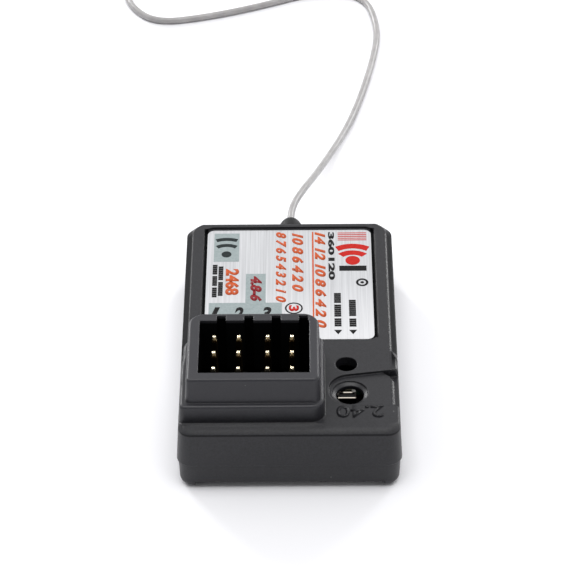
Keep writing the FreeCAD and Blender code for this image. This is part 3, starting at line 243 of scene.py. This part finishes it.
bpy.ops.object.select_all(action="DESELECT")
bpy.ops.mesh.primitive_plane_add(size=TABLE_SIZE, location=(0, 0, 0))
table = bpy.context.object
table.name = "table"
table.data.materials.append(new_finish(
    "table", Base_Color=linear(TABLE_WHITE), Roughness=0.9, Specular_IOR_Level=0.0)[0])

world = bpy.data.worlds.new("studio")
bpy.context.scene.world = world
world.use_nodes = True
sky = world.node_tree
sky.nodes.clear()
rays = add(sky, "ShaderNodeLightPath")
direction = add(sky, "ShaderNodeTexCoord").outputs["Generated"]
slope = add(sky, "ShaderNodeSeparateXYZ", {0: direction}).outputs["Z"]
risen = add(sky, "ShaderNodeMapRange", {
    "Value": slope, "From Min": HORIZON_RISE[0], "From Max": HORIZON_RISE[1]})
facing = add(sky, "ShaderNodeVectorMath", {0: direction, 1: OPENING}, operation="DOT_PRODUCT")
closed = add(sky, "ShaderNodeMapRange", {
    "Value": facing.outputs["Value"], "From Min": OPENING_EDGE[1], "From Max": OPENING_EDGE[0]})
lit = add(sky, "ShaderNodeMath", {0: risen.outputs[0], 1: closed.outputs[0]}, operation="MULTIPLY")
tent = add(sky, "ShaderNodeMix", {
    "Factor": lit.outputs[0], "A": linear(TENT_DIM), "B": linear(TENT_WHITE)}, data_type="RGBA")
shown_colour = add(sky, "ShaderNodeMix", {
    "Factor": rays.outputs["Is Camera Ray"], "A": tent.outputs["Result"],
    "B": linear(TENT_WHITE)}, data_type="RGBA")
mirrored = add(sky, "ShaderNodeMath", {
    0: rays.outputs["Is Glossy Ray"], 1: rays.outputs["Is Transmission Ray"]}, operation="MAXIMUM")
shown = add(sky, "ShaderNodeMath", {
    0: rays.outputs["Is Camera Ray"], 1: mirrored.outputs[0]}, operation="MAXIMUM")
room = add(sky, "ShaderNodeBackground", {
    "Color": tent.outputs["Result"], "Strength": TENT_STRENGTH})
backdrop = add(sky, "ShaderNodeBackground", {
    "Color": shown_colour.outputs["Result"], "Strength": 1.0})
mixed = add(sky, "ShaderNodeMixShader", {
    "Fac": shown.outputs[0], 1: room.outputs[0], 2: backdrop.outputs[0]})
add(sky, "ShaderNodeOutputWorld", {"Surface": mixed.outputs[0]})


for name, (place, width, height, watts, matt_share) in LAMPS.items():
    data = bpy.data.lights.new(name, "AREA")
    data.shape = "RECTANGLE"
    data.size = width
    data.size_y = height
    data.energy = watts
    data.diffuse_factor = matt_share
    lamp = bpy.data.objects.new(name, data)
    bpy.context.scene.collection.objects.link(lamp)
    lamp.location = place
    lamp.rotation_euler = Vector(place).to_track_quat("Z", "Y").to_euler()


# Case: two shells of black ABS, injection moulded in spark-eroded tools, which leaves a fine
# satin grain. The upper shell carries the deck and the two tiers of the socket block. The lower
# one is a shallow tray that snaps into it, with a hairline joint all round.
CASE_IOR = 1.53
# Where shade is painted on the case, its IOR drops to this, so its gloss goes too.
SHADE_IOR = 1.1
# How far edges look rounded, in millimetres, and how far the deck's front slope does.
EDGE_SOFTNESS = 0.2
FRONT_SOFTNESS = 1.7
THUMBED_SHARE = 0.14
# The tool's grain is some 0.03 mm wide. It is drawn coarser and flatter, so that it shows.
TOOL_GRAIN = 0.16
TOOL_GRAIN_HEIGHT = 0.006
# Painted light: the socket block is painted paler higher up, from none to half over these heights.
PALE_FROM = 7.8
PALE_TO = 9.5
# Specks of dust: how far apart, and their radius as a share of that.
DUST_SPACING = 2.2
DUST_SIZE = 0.022
# Places on the case, for each direction a low end, a high end and the soft length beyond them, in
# millimetres. The side is the distance from the middle, either way. The shoulders, side rims,
# front crease and well get painted shade; the thumbed edge is smoother and rounder, and the front
# slope rounder.
SHOULDER = {"side": (10.85, 13.0, 0.12), "along": (-7.0, 16.0, 1.5), "up": (6.7, 8.0, 0.5)}
SIDE_RIM = {"side": (9.1, 9.4, 0.15), "along": (-3.4, 15.7, 0.1), "up": (7.0, 8.0, 0.3)}
FRONT_CREASE = {"along": (-20.0, -17.5, 0.1), "up": (7.2, 7.32, 0.1)}
WELL = {"across": (-9.4, 2.2, 0.05), "along": (-15.15, -5.6, 0.05), "up": (4.0, 12.25, 0.15)}
THUMBED_EDGE = {"across": (10.6, 11.8, 0.1), "along": (-14.2, 14.5, 0.4), "up": (6.9, 7.7, 0.1)}
FRONT_SLOPE = {"along": (-20.0, -17.3, 0.2), "up": (7.4, 8.0, 0.2)}


def between(tree, value, low, high, soft):
    """1 between two places in millimetres, and 0 beyond a soft length outside them."""
    rise = add(tree, "ShaderNodeMapRange", {
        "Value": value, "From Min": (low - soft) * MM, "From Max": low * MM})
    fall = add(tree, "ShaderNodeMapRange", {
        "Value": value, "From Min": (high + soft) * MM, "From Max": high * MM})
    return add(tree, "ShaderNodeMath", {0: rise.outputs[0], 1: fall.outputs[0]},
               operation="MULTIPLY").outputs[0]


def together(tree, operation, first, *others):
    """One value out of several, by a node that takes two at a time."""
    for other in others:
        first = add(tree, "ShaderNodeMath", {0: first, 1: other}, operation=operation).outputs[0]
    return first


def directions(tree, coordinates):
    """The coordinates apart, by direction on the case."""
    axes = add(tree, "ShaderNodeSeparateXYZ", {0: coordinates})
    across, along, up = (axes.outputs[axis] for axis in "XYZ")
    side = add(tree, "ShaderNodeMath", {0: across}, operation="ABSOLUTE").outputs[0]
    return {"across": across, "along": along, "up": up, "side": side}


def patch(tree, axes, spans, share=1.0):
    """A share inside the box of the spans, and 0 outside it."""
    shares = [between(tree, axes[direction], *span) for direction, span in spans.items()]
    return together(tree, "MULTIPLY", *shares, share)


def moulded_case():
    """Satin black ABS: even colour, fine grain, soft edges and a few specks of dust. Shoulders,
    rims, front crease and well get painted shade, darker and less glossy, and the socket block
    gets painted light, paler higher up."""
    material, tree, shader = new_finish("case_plastic", IOR=CASE_IOR, Specular_IOR_Level=0.33)
    place = object_place(tree)
    axes = directions(tree, place)
    # Painted shade: shoulders, side rims, front crease and well are painted near black and lose
    # their gloss.
    dull = together(
        tree, "MAXIMUM", patch(tree, axes, SHOULDER, 0.85), patch(tree, axes, SIDE_RIM),
        patch(tree, axes, FRONT_CREASE, 0.5), patch(tree, axes, WELL))
    moulded = mottle(tree, place, per_metre(0.22), "#1c1c1f", "#27272b", harshness=0.6)[1]
    cells = add(tree, "ShaderNodeTexVoronoi", {
        "Vector": place, "Scale": per_metre(DUST_SPACING)})
    speck = add(tree, "ShaderNodeMath", {0: cells.outputs["Distance"], 1: DUST_SIZE},
                operation="LESS_THAN")
    dusty = add(tree, "ShaderNodeMix", data_type="RGBA", sockets={
        "Factor": speck.outputs[0], "A": moulded, "B": linear("#7a7a78")})
    # Painted light: the colour is paler higher up on the socket block.
    upper = add(tree, "ShaderNodeMapRange", {
        "Value": axes["up"], "From Min": PALE_FROM * MM, "From Max": PALE_TO * MM,
        "To Max": 0.5})
    lit_higher = add(tree, "ShaderNodeMix", data_type="RGBA", sockets={
        "Factor": upper.outputs[0], "A": dusty.outputs["Result"], "B": linear("#38383d")})
    # Painted shade: inside the mask the colour goes to near black.
    deep = add(tree, "ShaderNodeMix", data_type="RGBA", sockets={
        "Factor": dull, "A": lit_higher.outputs["Result"], "B": linear("#0b0c0d")})
    tree.links.new(deep.outputs["Result"], shader.inputs["Base Color"])
    shade_gloss = add(tree, "ShaderNodeMapRange", {
        "Value": dull, "To Min": CASE_IOR, "To Max": SHADE_IOR})
    tree.links.new(shade_gloss.outputs[0], shader.inputs["IOR"])
    grain = roughen(tree, shader, place, 0.8, 0.34, 0.44)
    thumbed = patch(tree, axes, THUMBED_EDGE)
    smooth = add(tree, "ShaderNodeMapRange", {"Value": thumbed, "To Min": grain, "To Max": 0.14})
    tree.links.new(smooth.outputs[0], shader.inputs["Roughness"])
    rounding = together(tree, "MAXIMUM", patch(tree, axes, FRONT_SLOPE),
                        patch(tree, axes, THUMBED_EDGE, THUMBED_SHARE))
    softness = add(tree, "ShaderNodeMapRange", {
        "Value": rounding, "To Min": EDGE_SOFTNESS * MM, "To Max": FRONT_SOFTNESS * MM})
    rounded = add(tree, "ShaderNodeBevel", {"Radius": softness.outputs[0]}, samples=6)
    emboss(tree, shader, place, TOOL_GRAIN, TOOL_GRAIN_HEIGHT, 0.6, rounded.outputs["Normal"])
    return material


def dress(material, *names):
    """Give CAD pieces a finish."""
    for name in names:
        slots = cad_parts[name].data.materials
        slots.clear()
        slots.append(material)


case_finish = moulded_case()
dress(case_finish, "upper_case", "lower_case")


# Circuit board: glass laminate with a green solder mask, cut from a panel, and the tin fillets
# and joints that hold its parts. The posts of the upper shell press it on the tray's ribs.
def board_laminate():
    """Solder mask over glass cloth: glossy green with the weave's faint mottle."""
    material, tree, shader = new_finish("board_laminate", IOR=1.5, Roughness=0.3)
    place = object_place(tree)
    vary(tree, shader, place, 0.5, "#07150d", "#0b2015")
    emboss(tree, shader, place, 0.4, 0.01)
    return material


def solder_tin():
    """Reflowed tin: bright, with the slight grain of a cooled surface."""
    material, tree, shader = new_finish("solder", Metallic=1.0)
    place = object_place(tree)
    vary(tree, shader, place, 0.3, "#b9bbbd", "#d3d4d4")
    roughen(tree, shader, place, 0.3, 0.22, 0.38)
    return material


dress(board_laminate(), "circuit_board")
dress(solder_tin(), "header_solder", "antenna_solder")


# Servo ports: twelve square contacts, drawn from brass wire, gold plated and pressed into two
# black nylon insulators. Each column of three takes one servo plug.
PORTS = 4
# Plugs wear the tips round by this much. Over this height the tips keep their pale colour, and
# below it the shafts get painted shade. Both in millimetres.
TIP_WEAR = 0.2
BRIGHT_TIP = 0.28
# Marks of the drawing die along the wire, as wide and as long as this.
DRAW_MARK = (0.05, 2.0)


def header_nylon():
    """Glass-filled nylon: dull black with pale fibre flecks."""
    material, tree, shader = new_finish("header_plastic", IOR=1.53)
    place = object_place(tree)
    vary(tree, shader, place, 0.2, "#0b0b0c", "#141415")
    roughen(tree, shader, place, 0.4, 0.5, 0.65)
    return material


def gilt():
    """Gold flash on brass: pale at the tips, with painted shade making it dull and brown down the
    shafts.
    """
    material, tree, shader = new_finish("gilt_contact", Metallic=1.0)
    place = object_place(tree)
    streaks = add(tree, "ShaderNodeMapping", {
        "Vector": place, "Scale": [per_metre(DRAW_MARK[side]) for side in (0, 0, 1)]})
    drawn = mottle(tree, streaks.outputs[0], 1.0, "#f0dfb8", "#fcf4de", 2.0, ends=(0.0, 1.0))[1]
    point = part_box("pin_port1_signal")[1].z / MM
    lit_tips = between(tree, directions(tree, place)["up"], point - BRIGHT_TIP, point + 1.0, 0.15)
    # Painted shade: below the tips the gilt is painted dark brown.
    toned = add(tree, "ShaderNodeMix", data_type="RGBA", sockets={
        "Factor": lit_tips, "A": linear("#6e5c40"), "B": drawn})
    tree.links.new(toned.outputs["Result"], shader.inputs["Base Color"])
    roughen(tree, shader, place, 0.3, 0.2, 0.3)
    worn = add(tree, "ShaderNodeBevel", {"Radius": TIP_WEAR * MM}, samples=6)
    tree.links.new(worn.outputs["Normal"], shader.inputs["Normal"])
    return material


dress(header_nylon(), "header_base_left", "header_base_right")
dress(gilt(), *[f"pin_port{port}_{contact}" for port in range(1, PORTS + 1)
                for contact in ("signal", "power", "ground")])


# Push switch: a black moulded body with four tinned legs, a sprung steel dome on its floor, a
# black plunger, and a pressed steel cover whose drawn collar guides the plunger.
def pressed_steel():
    """Nickel-plated spring steel: pale, with rolling marks across the sheet."""
    material, tree, shader = new_finish("spring_steel", Metallic=1.0)
    place = object_place(tree)
    vary(tree, shader, place, 0.3, "#cbc8c2", "#e2dfd9")
    roughen(tree, shader, place, 0.2, 0.2, 0.32)
    return material


def cover_steel():
    """The cover's steel: dark, with painted highlights on two stretches of the collar's brim."""
    material, tree, shader = new_finish("cover_steel", Metallic=1.0, Roughness=0.3)
    place = object_place(tree)
    axes = directions(tree, place)
    low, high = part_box("switch_plunger")
    x, y = (low.x + high.x) / 2 / MM, (low.y + high.y) / 2 / MM
    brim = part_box("switch_cover")[1].z / MM
    top = (brim - 0.08, brim + 1.0, 0.08)
    # Painted highlights: two bright stretches of the collar's brim.
    bright = together(
        tree, "MAXIMUM",
        patch(tree, axes, {
            "across": (x - 1.2, x + 0.75, 0.2), "along": (y - 2.0, y - 0.36, 0.03), "up": top}),
        patch(tree, axes, {
            "across": (x - 0.3, x + 0.45, 0.15), "along": (y + 0.36, y + 0.52, 0.03), "up": top}))
    toned = add(tree, "ShaderNodeMix", data_type="RGBA", sockets={
        "Factor": bright, "A": linear("#1d1b19"), "B": linear("#e9e1d3")})
    tree.links.new(toned.outputs["Result"], shader.inputs["Base Color"])
    return material


dress(cover_steel(), "switch_cover")
dress(pressed_steel(), "switch_dome", "switch_terminals")


def switch_plastic():
    """Heat-proof moulding: deep black and matt."""
    material, tree, shader = new_finish("switch_plastic", Specular_IOR_Level=0.15)
    place = object_place(tree)
    vary(tree, shader, place, 0.2, "#060607", "#0c0c0d")
    roughen(tree, shader, place, 0.4, 0.5, 0.6)
    return material


dress(switch_plastic(), "switch_body", "switch_plunger")


# Indicator: a chip lamp on a white ceramic base, with a clear resin lens, under its opening.
def lamp_ceramic():
    """Glazed white ceramic."""
    material, tree, shader = new_finish("lamp_ceramic", IOR=1.6, Roughness=0.35)
    vary(tree, shader, object_place(tree), 0.3, "#d4d3cc", "#e6e5df")
    return material


def lamp_lens():
    """Clear epoxy, a little yellowed."""
    material, tree, shader = new_finish(
        "lamp_lens", IOR=1.51, Roughness=0.12, Transmission_Weight=0.85)
    vary(tree, shader, object_place(tree), 0.6, "#d9d3b4", "#e8e3c8")
    return material


dress(lamp_ceramic(), "led_base")
dress(lamp_lens(), "led_lens")


# Parts on the board: moulded integrated circuits, a tantalum capacitor, a crystal in its metal
# can, a ferrite bead, and two rows of small chip capacitors and resistors.
def chip_finish(name, dark, light, low, high, metallic=0.0):
    """Small part's body: two near colours in a fine grain."""
    material, tree, shader = new_finish(name, Metallic=metallic)
    place = object_place(tree)
    vary(tree, shader, place, 0.15, dark, light)
    roughen(tree, shader, place, 0.3, low, high)
    return material


dress(chip_finish("package_epoxy", "#1a1a1b", "#232324", 0.5, 0.62),
      "processor_chip", "radio_chip", "voltage_regulator")
dress(chip_finish("tantalum_case", "#c98a2a", "#d99b39", 0.4, 0.5), "bulk_capacitor")
dress(chip_finish("can_steel", "#b5b5b2", "#cdcdca", 0.25, 0.35, 1.0), "crystal")
dress(chip_finish("chip_ceramic", "#8a6c4d", "#a08060", 0.4, 0.5), "chip_capacitors")
dress(chip_finish("resistor_ceramic", "#161618", "#202022", 0.35, 0.45), "chip_resistors")
dress(chip_finish("ferrite", "#3a3a3d", "#47474a", 0.45, 0.55), "ferrite_bead")


# Antenna boot: black thermoplastic rubber, moulded over the lead. Its neck sits in the hole of
# the rear wall and its flange holds it from inside. The lead goes on to the board in the case.
def boot_rubber():
    """Moulded rubber: duller than the case, with a soft grain."""
    material, tree, shader = new_finish("boot_rubber", Specular_IOR_Level=0.25)
    place = object_place(tree)
    vary(tree, shader, place, 0.2, "#161617", "#1e1e20")
    roughen(tree, shader, place, 0.5, 0.52, 0.64)
    emboss(tree, shader, place, 0.12, 0.005, 0.5)
    return material


dress(boot_rubber(), "antenna_boot")
dress(wire.data.materials[0], "antenna_lead")


# Label: silver polyester film with a brushed look, printed and die cut with rounded corners,
# held by its own glue in the deck's recess. The print is screened ink in five colours.
label_low, label_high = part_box("label")
INK = 0.012 * MM
INK_ROOT = 0.002 * MM
INK_START = label_high.z - INK_ROOT
# The film's brushing is some 0.03 mm wide. It is drawn coarser, so that it shows.
STREAK_WIDTH = 0.11
STREAK_LENGTH = 12.0


def label_film():
    """Brushed silver film: long fine streaks from front to rear under a clear coat, with a painted
    sheen that makes it lighter towards the front.
    """
    material, tree, shader = new_finish(
        "label_film", Metallic=0.25, Coat_Weight=0.3, Coat_Roughness=0.12)
    place = object_place(tree)
    stretched = add(tree, "ShaderNodeMapping", {
        "Vector": place, "Scale": [per_metre(size) for size in (
            STREAK_WIDTH, STREAK_LENGTH, STREAK_LENGTH)]})
    streaks, silver = mottle(tree, stretched.outputs[0], 1.0, "#b2b3b6", "#cecfd2", 4.0, 0.65)
    # Painted sheen: the film is painted lighter towards the front.
    front = add(tree, "ShaderNodeMapRange", {
        "Value": directions(tree, place)["along"], "From Min": 6 * MM, "From Max": -3 * MM,
        "To Max": 0.45})
    lighter = add(tree, "ShaderNodeMix", data_type="RGBA", sockets={
        "Factor": front.outputs[0], "A": silver, "B": linear("#ececee")})
    tree.links.new(lighter.outputs["Result"], shader.inputs["Base Color"])
    span = add(tree, "ShaderNodeMapRange", {"Value": streaks, "To Min": 0.34, "To Max": 0.46})
    tree.links.new(span.outputs["Result"], shader.inputs["Roughness"])
    return material


def ink(name, dark, light):
    """Screened ink: even colour with a slight mottle, a little duller than the film."""
    material, tree, shader = new_finish(f"ink_{name}", Roughness=0.5, Specular_IOR_Level=0.12)
    vary(tree, shader, object_place(tree), 0.25, dark, light)
    return material


def field(left, front, right, rear):
    """Flat field between two corners, in millimetres."""
    bpy.ops.object.select_all(action="DESELECT")
    bpy.ops.mesh.primitive_plane_add(
        size=1, location=((left + right) / 2 * MM, (front + rear) / 2 * MM, 0))
    made = bpy.context.object
    made.scale = ((right - left) * MM, (rear - front) * MM, 1)
    bpy.ops.object.transform_apply(location=True, rotation=True, scale=True)
    return made


def bars(left, rear, right, count, bar, gap):
    """Row of like bars towards the front, as small print looks from a step away."""
    first = field(left, rear - bar, right, rear)
    row = first.modifiers.new("row", "ARRAY")
    row.count = count
    row.use_relative_offset = False
    row.use_constant_offset = True
    row.constant_offset_displace = (0, -(bar + gap) * MM, 0)
    bpy.ops.object.modifier_apply(modifier=row.name)
    return first


def number(body, left, front, right, rear, slant=0.0, weight=0.0, turn=-90):
    """Plain number fitted between two corners. Its top points to the right unless it is turned."""
    bpy.ops.object.select_all(action="DESELECT")
    bpy.ops.object.text_add(location=(0, 0, 0))
    mark = bpy.context.object
    mark.data.body = body
    mark.data.shear = slant
    mark.data.offset = weight
    mark.data.resolution_u = 4
    bpy.ops.object.convert(target="MESH")
    mark.rotation_euler.z = math.radians(turn)
    bpy.ops.object.transform_apply(location=True, rotation=True, scale=True)
    bpy.ops.object.origin_set(type="ORIGIN_GEOMETRY", center="BOUNDS")
    width, depth, _ = mark.dimensions
    mark.scale = ((right - left) * MM / width, (rear - front) * MM / depth, 1)
    mark.location = ((left + right) / 2 * MM, (front + rear) / 2 * MM, 0)
    bpy.ops.object.transform_apply(location=True, rotation=True, scale=True)
    return mark


def disc(x, y, radius, bore=0.0, half_angle=180, sides=64, turn=0):
    """Round field. With a bore it is a ring, and with a half angle an arc about its rear."""
    bpy.ops.object.select_all(action="DESELECT")
    bpy.ops.mesh.primitive_circle_add(
        vertices=sides, radius=radius * MM, fill_type="NGON", location=(x * MM, y * MM, 0),
        rotation=(0, 0, math.radians(turn)))
    bpy.ops.object.transform_apply(location=True, rotation=True, scale=True)
    bpy.ops.object.mode_set(mode="EDIT")
    if bore:
        bpy.ops.mesh.inset(thickness=(radius - bore) * MM)
        bpy.ops.mesh.delete(type="FACE")
    if half_angle < 180:
        edge = math.radians(half_angle)
        for side in (-1, 1):
            bpy.ops.mesh.select_all(action="SELECT")
            bpy.ops.mesh.bisect(plane_co=(x * MM, y * MM, 0), clear_outer=True,
                                plane_no=(side * math.cos(edge), -math.sin(edge), 0))
    bpy.ops.object.mode_set(mode="OBJECT")
    return bpy.context.object


def raise_print(name, marks, base, thickness):
    """Join flat marks to one piece and give it its thickness."""
    bpy.ops.object.select_all(action="DESELECT")
    for mark in marks:
        mark.select_set(True)
    bpy.context.view_layer.objects.active = marks[0]
    if len(marks) > 1:
        bpy.ops.object.join()
    piece = bpy.context.object
    piece.name = name
    piece.location = (0, 0, base)
    bpy.ops.object.transform_apply(location=True, rotation=True, scale=True)
    bpy.ops.object.mode_set(mode="EDIT")
    bpy.ops.mesh.select_all(action="SELECT")
    bpy.ops.mesh.extrude_region_move(TRANSFORM_OT_translate={"value": (0, 0, thickness)})
    bpy.ops.mesh.select_all(action="SELECT")
    bpy.ops.mesh.normals_make_consistent(inside=False)
    bpy.ops.object.mode_set(mode="OBJECT")
    return piece


def print_ink(name, marks, material, base=INK_START):
    """Printed marks of one colour, on the film or over another colour."""
    piece = raise_print(name, marks, base, INK)
    piece.data.materials.clear()
    piece.data.materials.append(material)
    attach(piece, "receiver")


dress(label_film(), "label")

# Grey panels: one behind the ports, one for the supply's range and one under the signal arcs.
# Each mark on the label is laid out by its left, front, right and rear, in millimetres.
OVERPRINT = INK_START + 0.7 * INK
print_ink("print_panels", [
    field(-8.7, -2.9, -0.8, 2.75), field(-4.75, 2.75, -2.57, 7.8),
    field(-8.35, 10.0, -5.55, 15.1)], ink("grey", "#8d9899", "#9aa4a5"))

# Orange: a scale of plain numbers beside its rule, two smaller ones and a larger number.
print_ink("print_orange", [
    field(2.53, -3.0, 2.7, 15.3),
    number("14 12 10 8 6 4 2 0", 2.82, -1.6, 4.05, 15.3, 0.3, 0.05),
    number("10 8 6 4 2 0", 0.3, 4.6, 1.6, 15.1, 0.3, 0.05),
    number("8 7 6 5 4 3 2 1 0", -1.5, 2.8, -0.3, 15.3, 0.3, 0.05),
    number("2468", -6.98, 4.1, -5.47, 8.7, 0.0, 0.05)], ink("orange", "#b94f28", "#c65e36"))

# Black: rows that read as small print, plain numbers, rings and arrows to the openings.
small_print = []
for left, right, words in ((-8.42, -7.9, ((9.45, 5), (7.45, 5), (5.45, 5))),
                           (-7.77, -7.25, ((9.15, 7), (6.4, 7))),
                           (4.86, 5.6, ((4.35, 5), (2.35, 6), (0.0, 4))),
                           (6.46, 7.2, ((3.15, 8), (-0.05, 4)))):
    for rear, letters in words:
        small_print.append(bars(left, rear, right, letters, 0.315, 0.035))
port_numbers = []
for port in (1, 2, 3):
    pin_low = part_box(f"pin_port{port}_power")[0] / MM
    port_numbers.append(
        number(str(port), pin_low.x - 0.6, -0.3, pin_low.x + 0.6, 2.0, 0.3, 0.04, 0))
print_ink("print_black", small_print + [
    number("360", 4.32, 11.1, 5.02, 15.25, 0.0, 0.05),
    number("120", 4.32, 6.65, 5.02, 10.6, 0.0, 0.05),
    disc(0.5, 1.78, 0.97, 0.79), disc(7.97, 6.2, 0.68, 0.42), disc(7.97, 6.2, 0.2),
    disc(5.23, -2.2, 0.5, sides=3, turn=180), disc(6.83, -2.2, 0.5, sides=3, turn=180),
    field(5.5, 8.25, 8.5, 9.15)], ink("black", "#0c0c0d", "#151516"))

# Red: radio arcs over the black bar, a comb of fine ticks and the number in the ring.
print_ink("print_red", [
    disc(7.0, 9.5, 3.6, 2.75, 32), disc(7.0, 9.5, 2.4, 1.6, 42), disc(7.0, 10.1, 0.8),
    bars(5.4, 15.15, 8.6, 5, 0.14, 0.18),
    number("3", -0.05, 1.25, 1.05, 2.3, 0.0, 0.04)], ink("red", "#af1c16", "#be2720"))

# Over the grey: the supply's range in volts, the port numbers and the signal arcs.
print_ink("print_dark_red", [number("4.8-6", -4.25, 3.0, -2.95, 7.4, 0.25, 0.06)],
          ink("dark_red", "#7d1c22", "#8f252b"), OVERPRINT)
print_ink("print_ports", port_numbers, ink("port_black", "#0c0c0d", "#151516"), OVERPRINT)
print_ink("print_arcs", [
    disc(-6.95, 11.0, 3.3, 2.75, 24), disc(-6.95, 11.0, 2.2, 1.65, 34), disc(-6.95, 11.3, 0.55)],
    ink("arcs", "#202627", "#2a3132"), OVERPRINT)


# Raised numbers on the deck in front of the push button, turned to be read from the rear. They
# are moulded with the upper shell, a hair above its surface.
DECK_ABOVE_LABEL = 0.2 * MM
MARK_ROOT = 0.02 * MM
MARK_HEIGHT = 0.07 * MM
deck_mark = raise_print(
    "moulded_mark", [number("2.40", 4.85, -16.35, 9.75, -14.5, 0.0, 0.02, 180)],
    label_high.z + DECK_ABOVE_LABEL - MARK_ROOT, MARK_HEIGHT)
deck_mark.data.materials.clear()
deck_mark.data.materials.append(case_finish)
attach(deck_mark, "receiver")
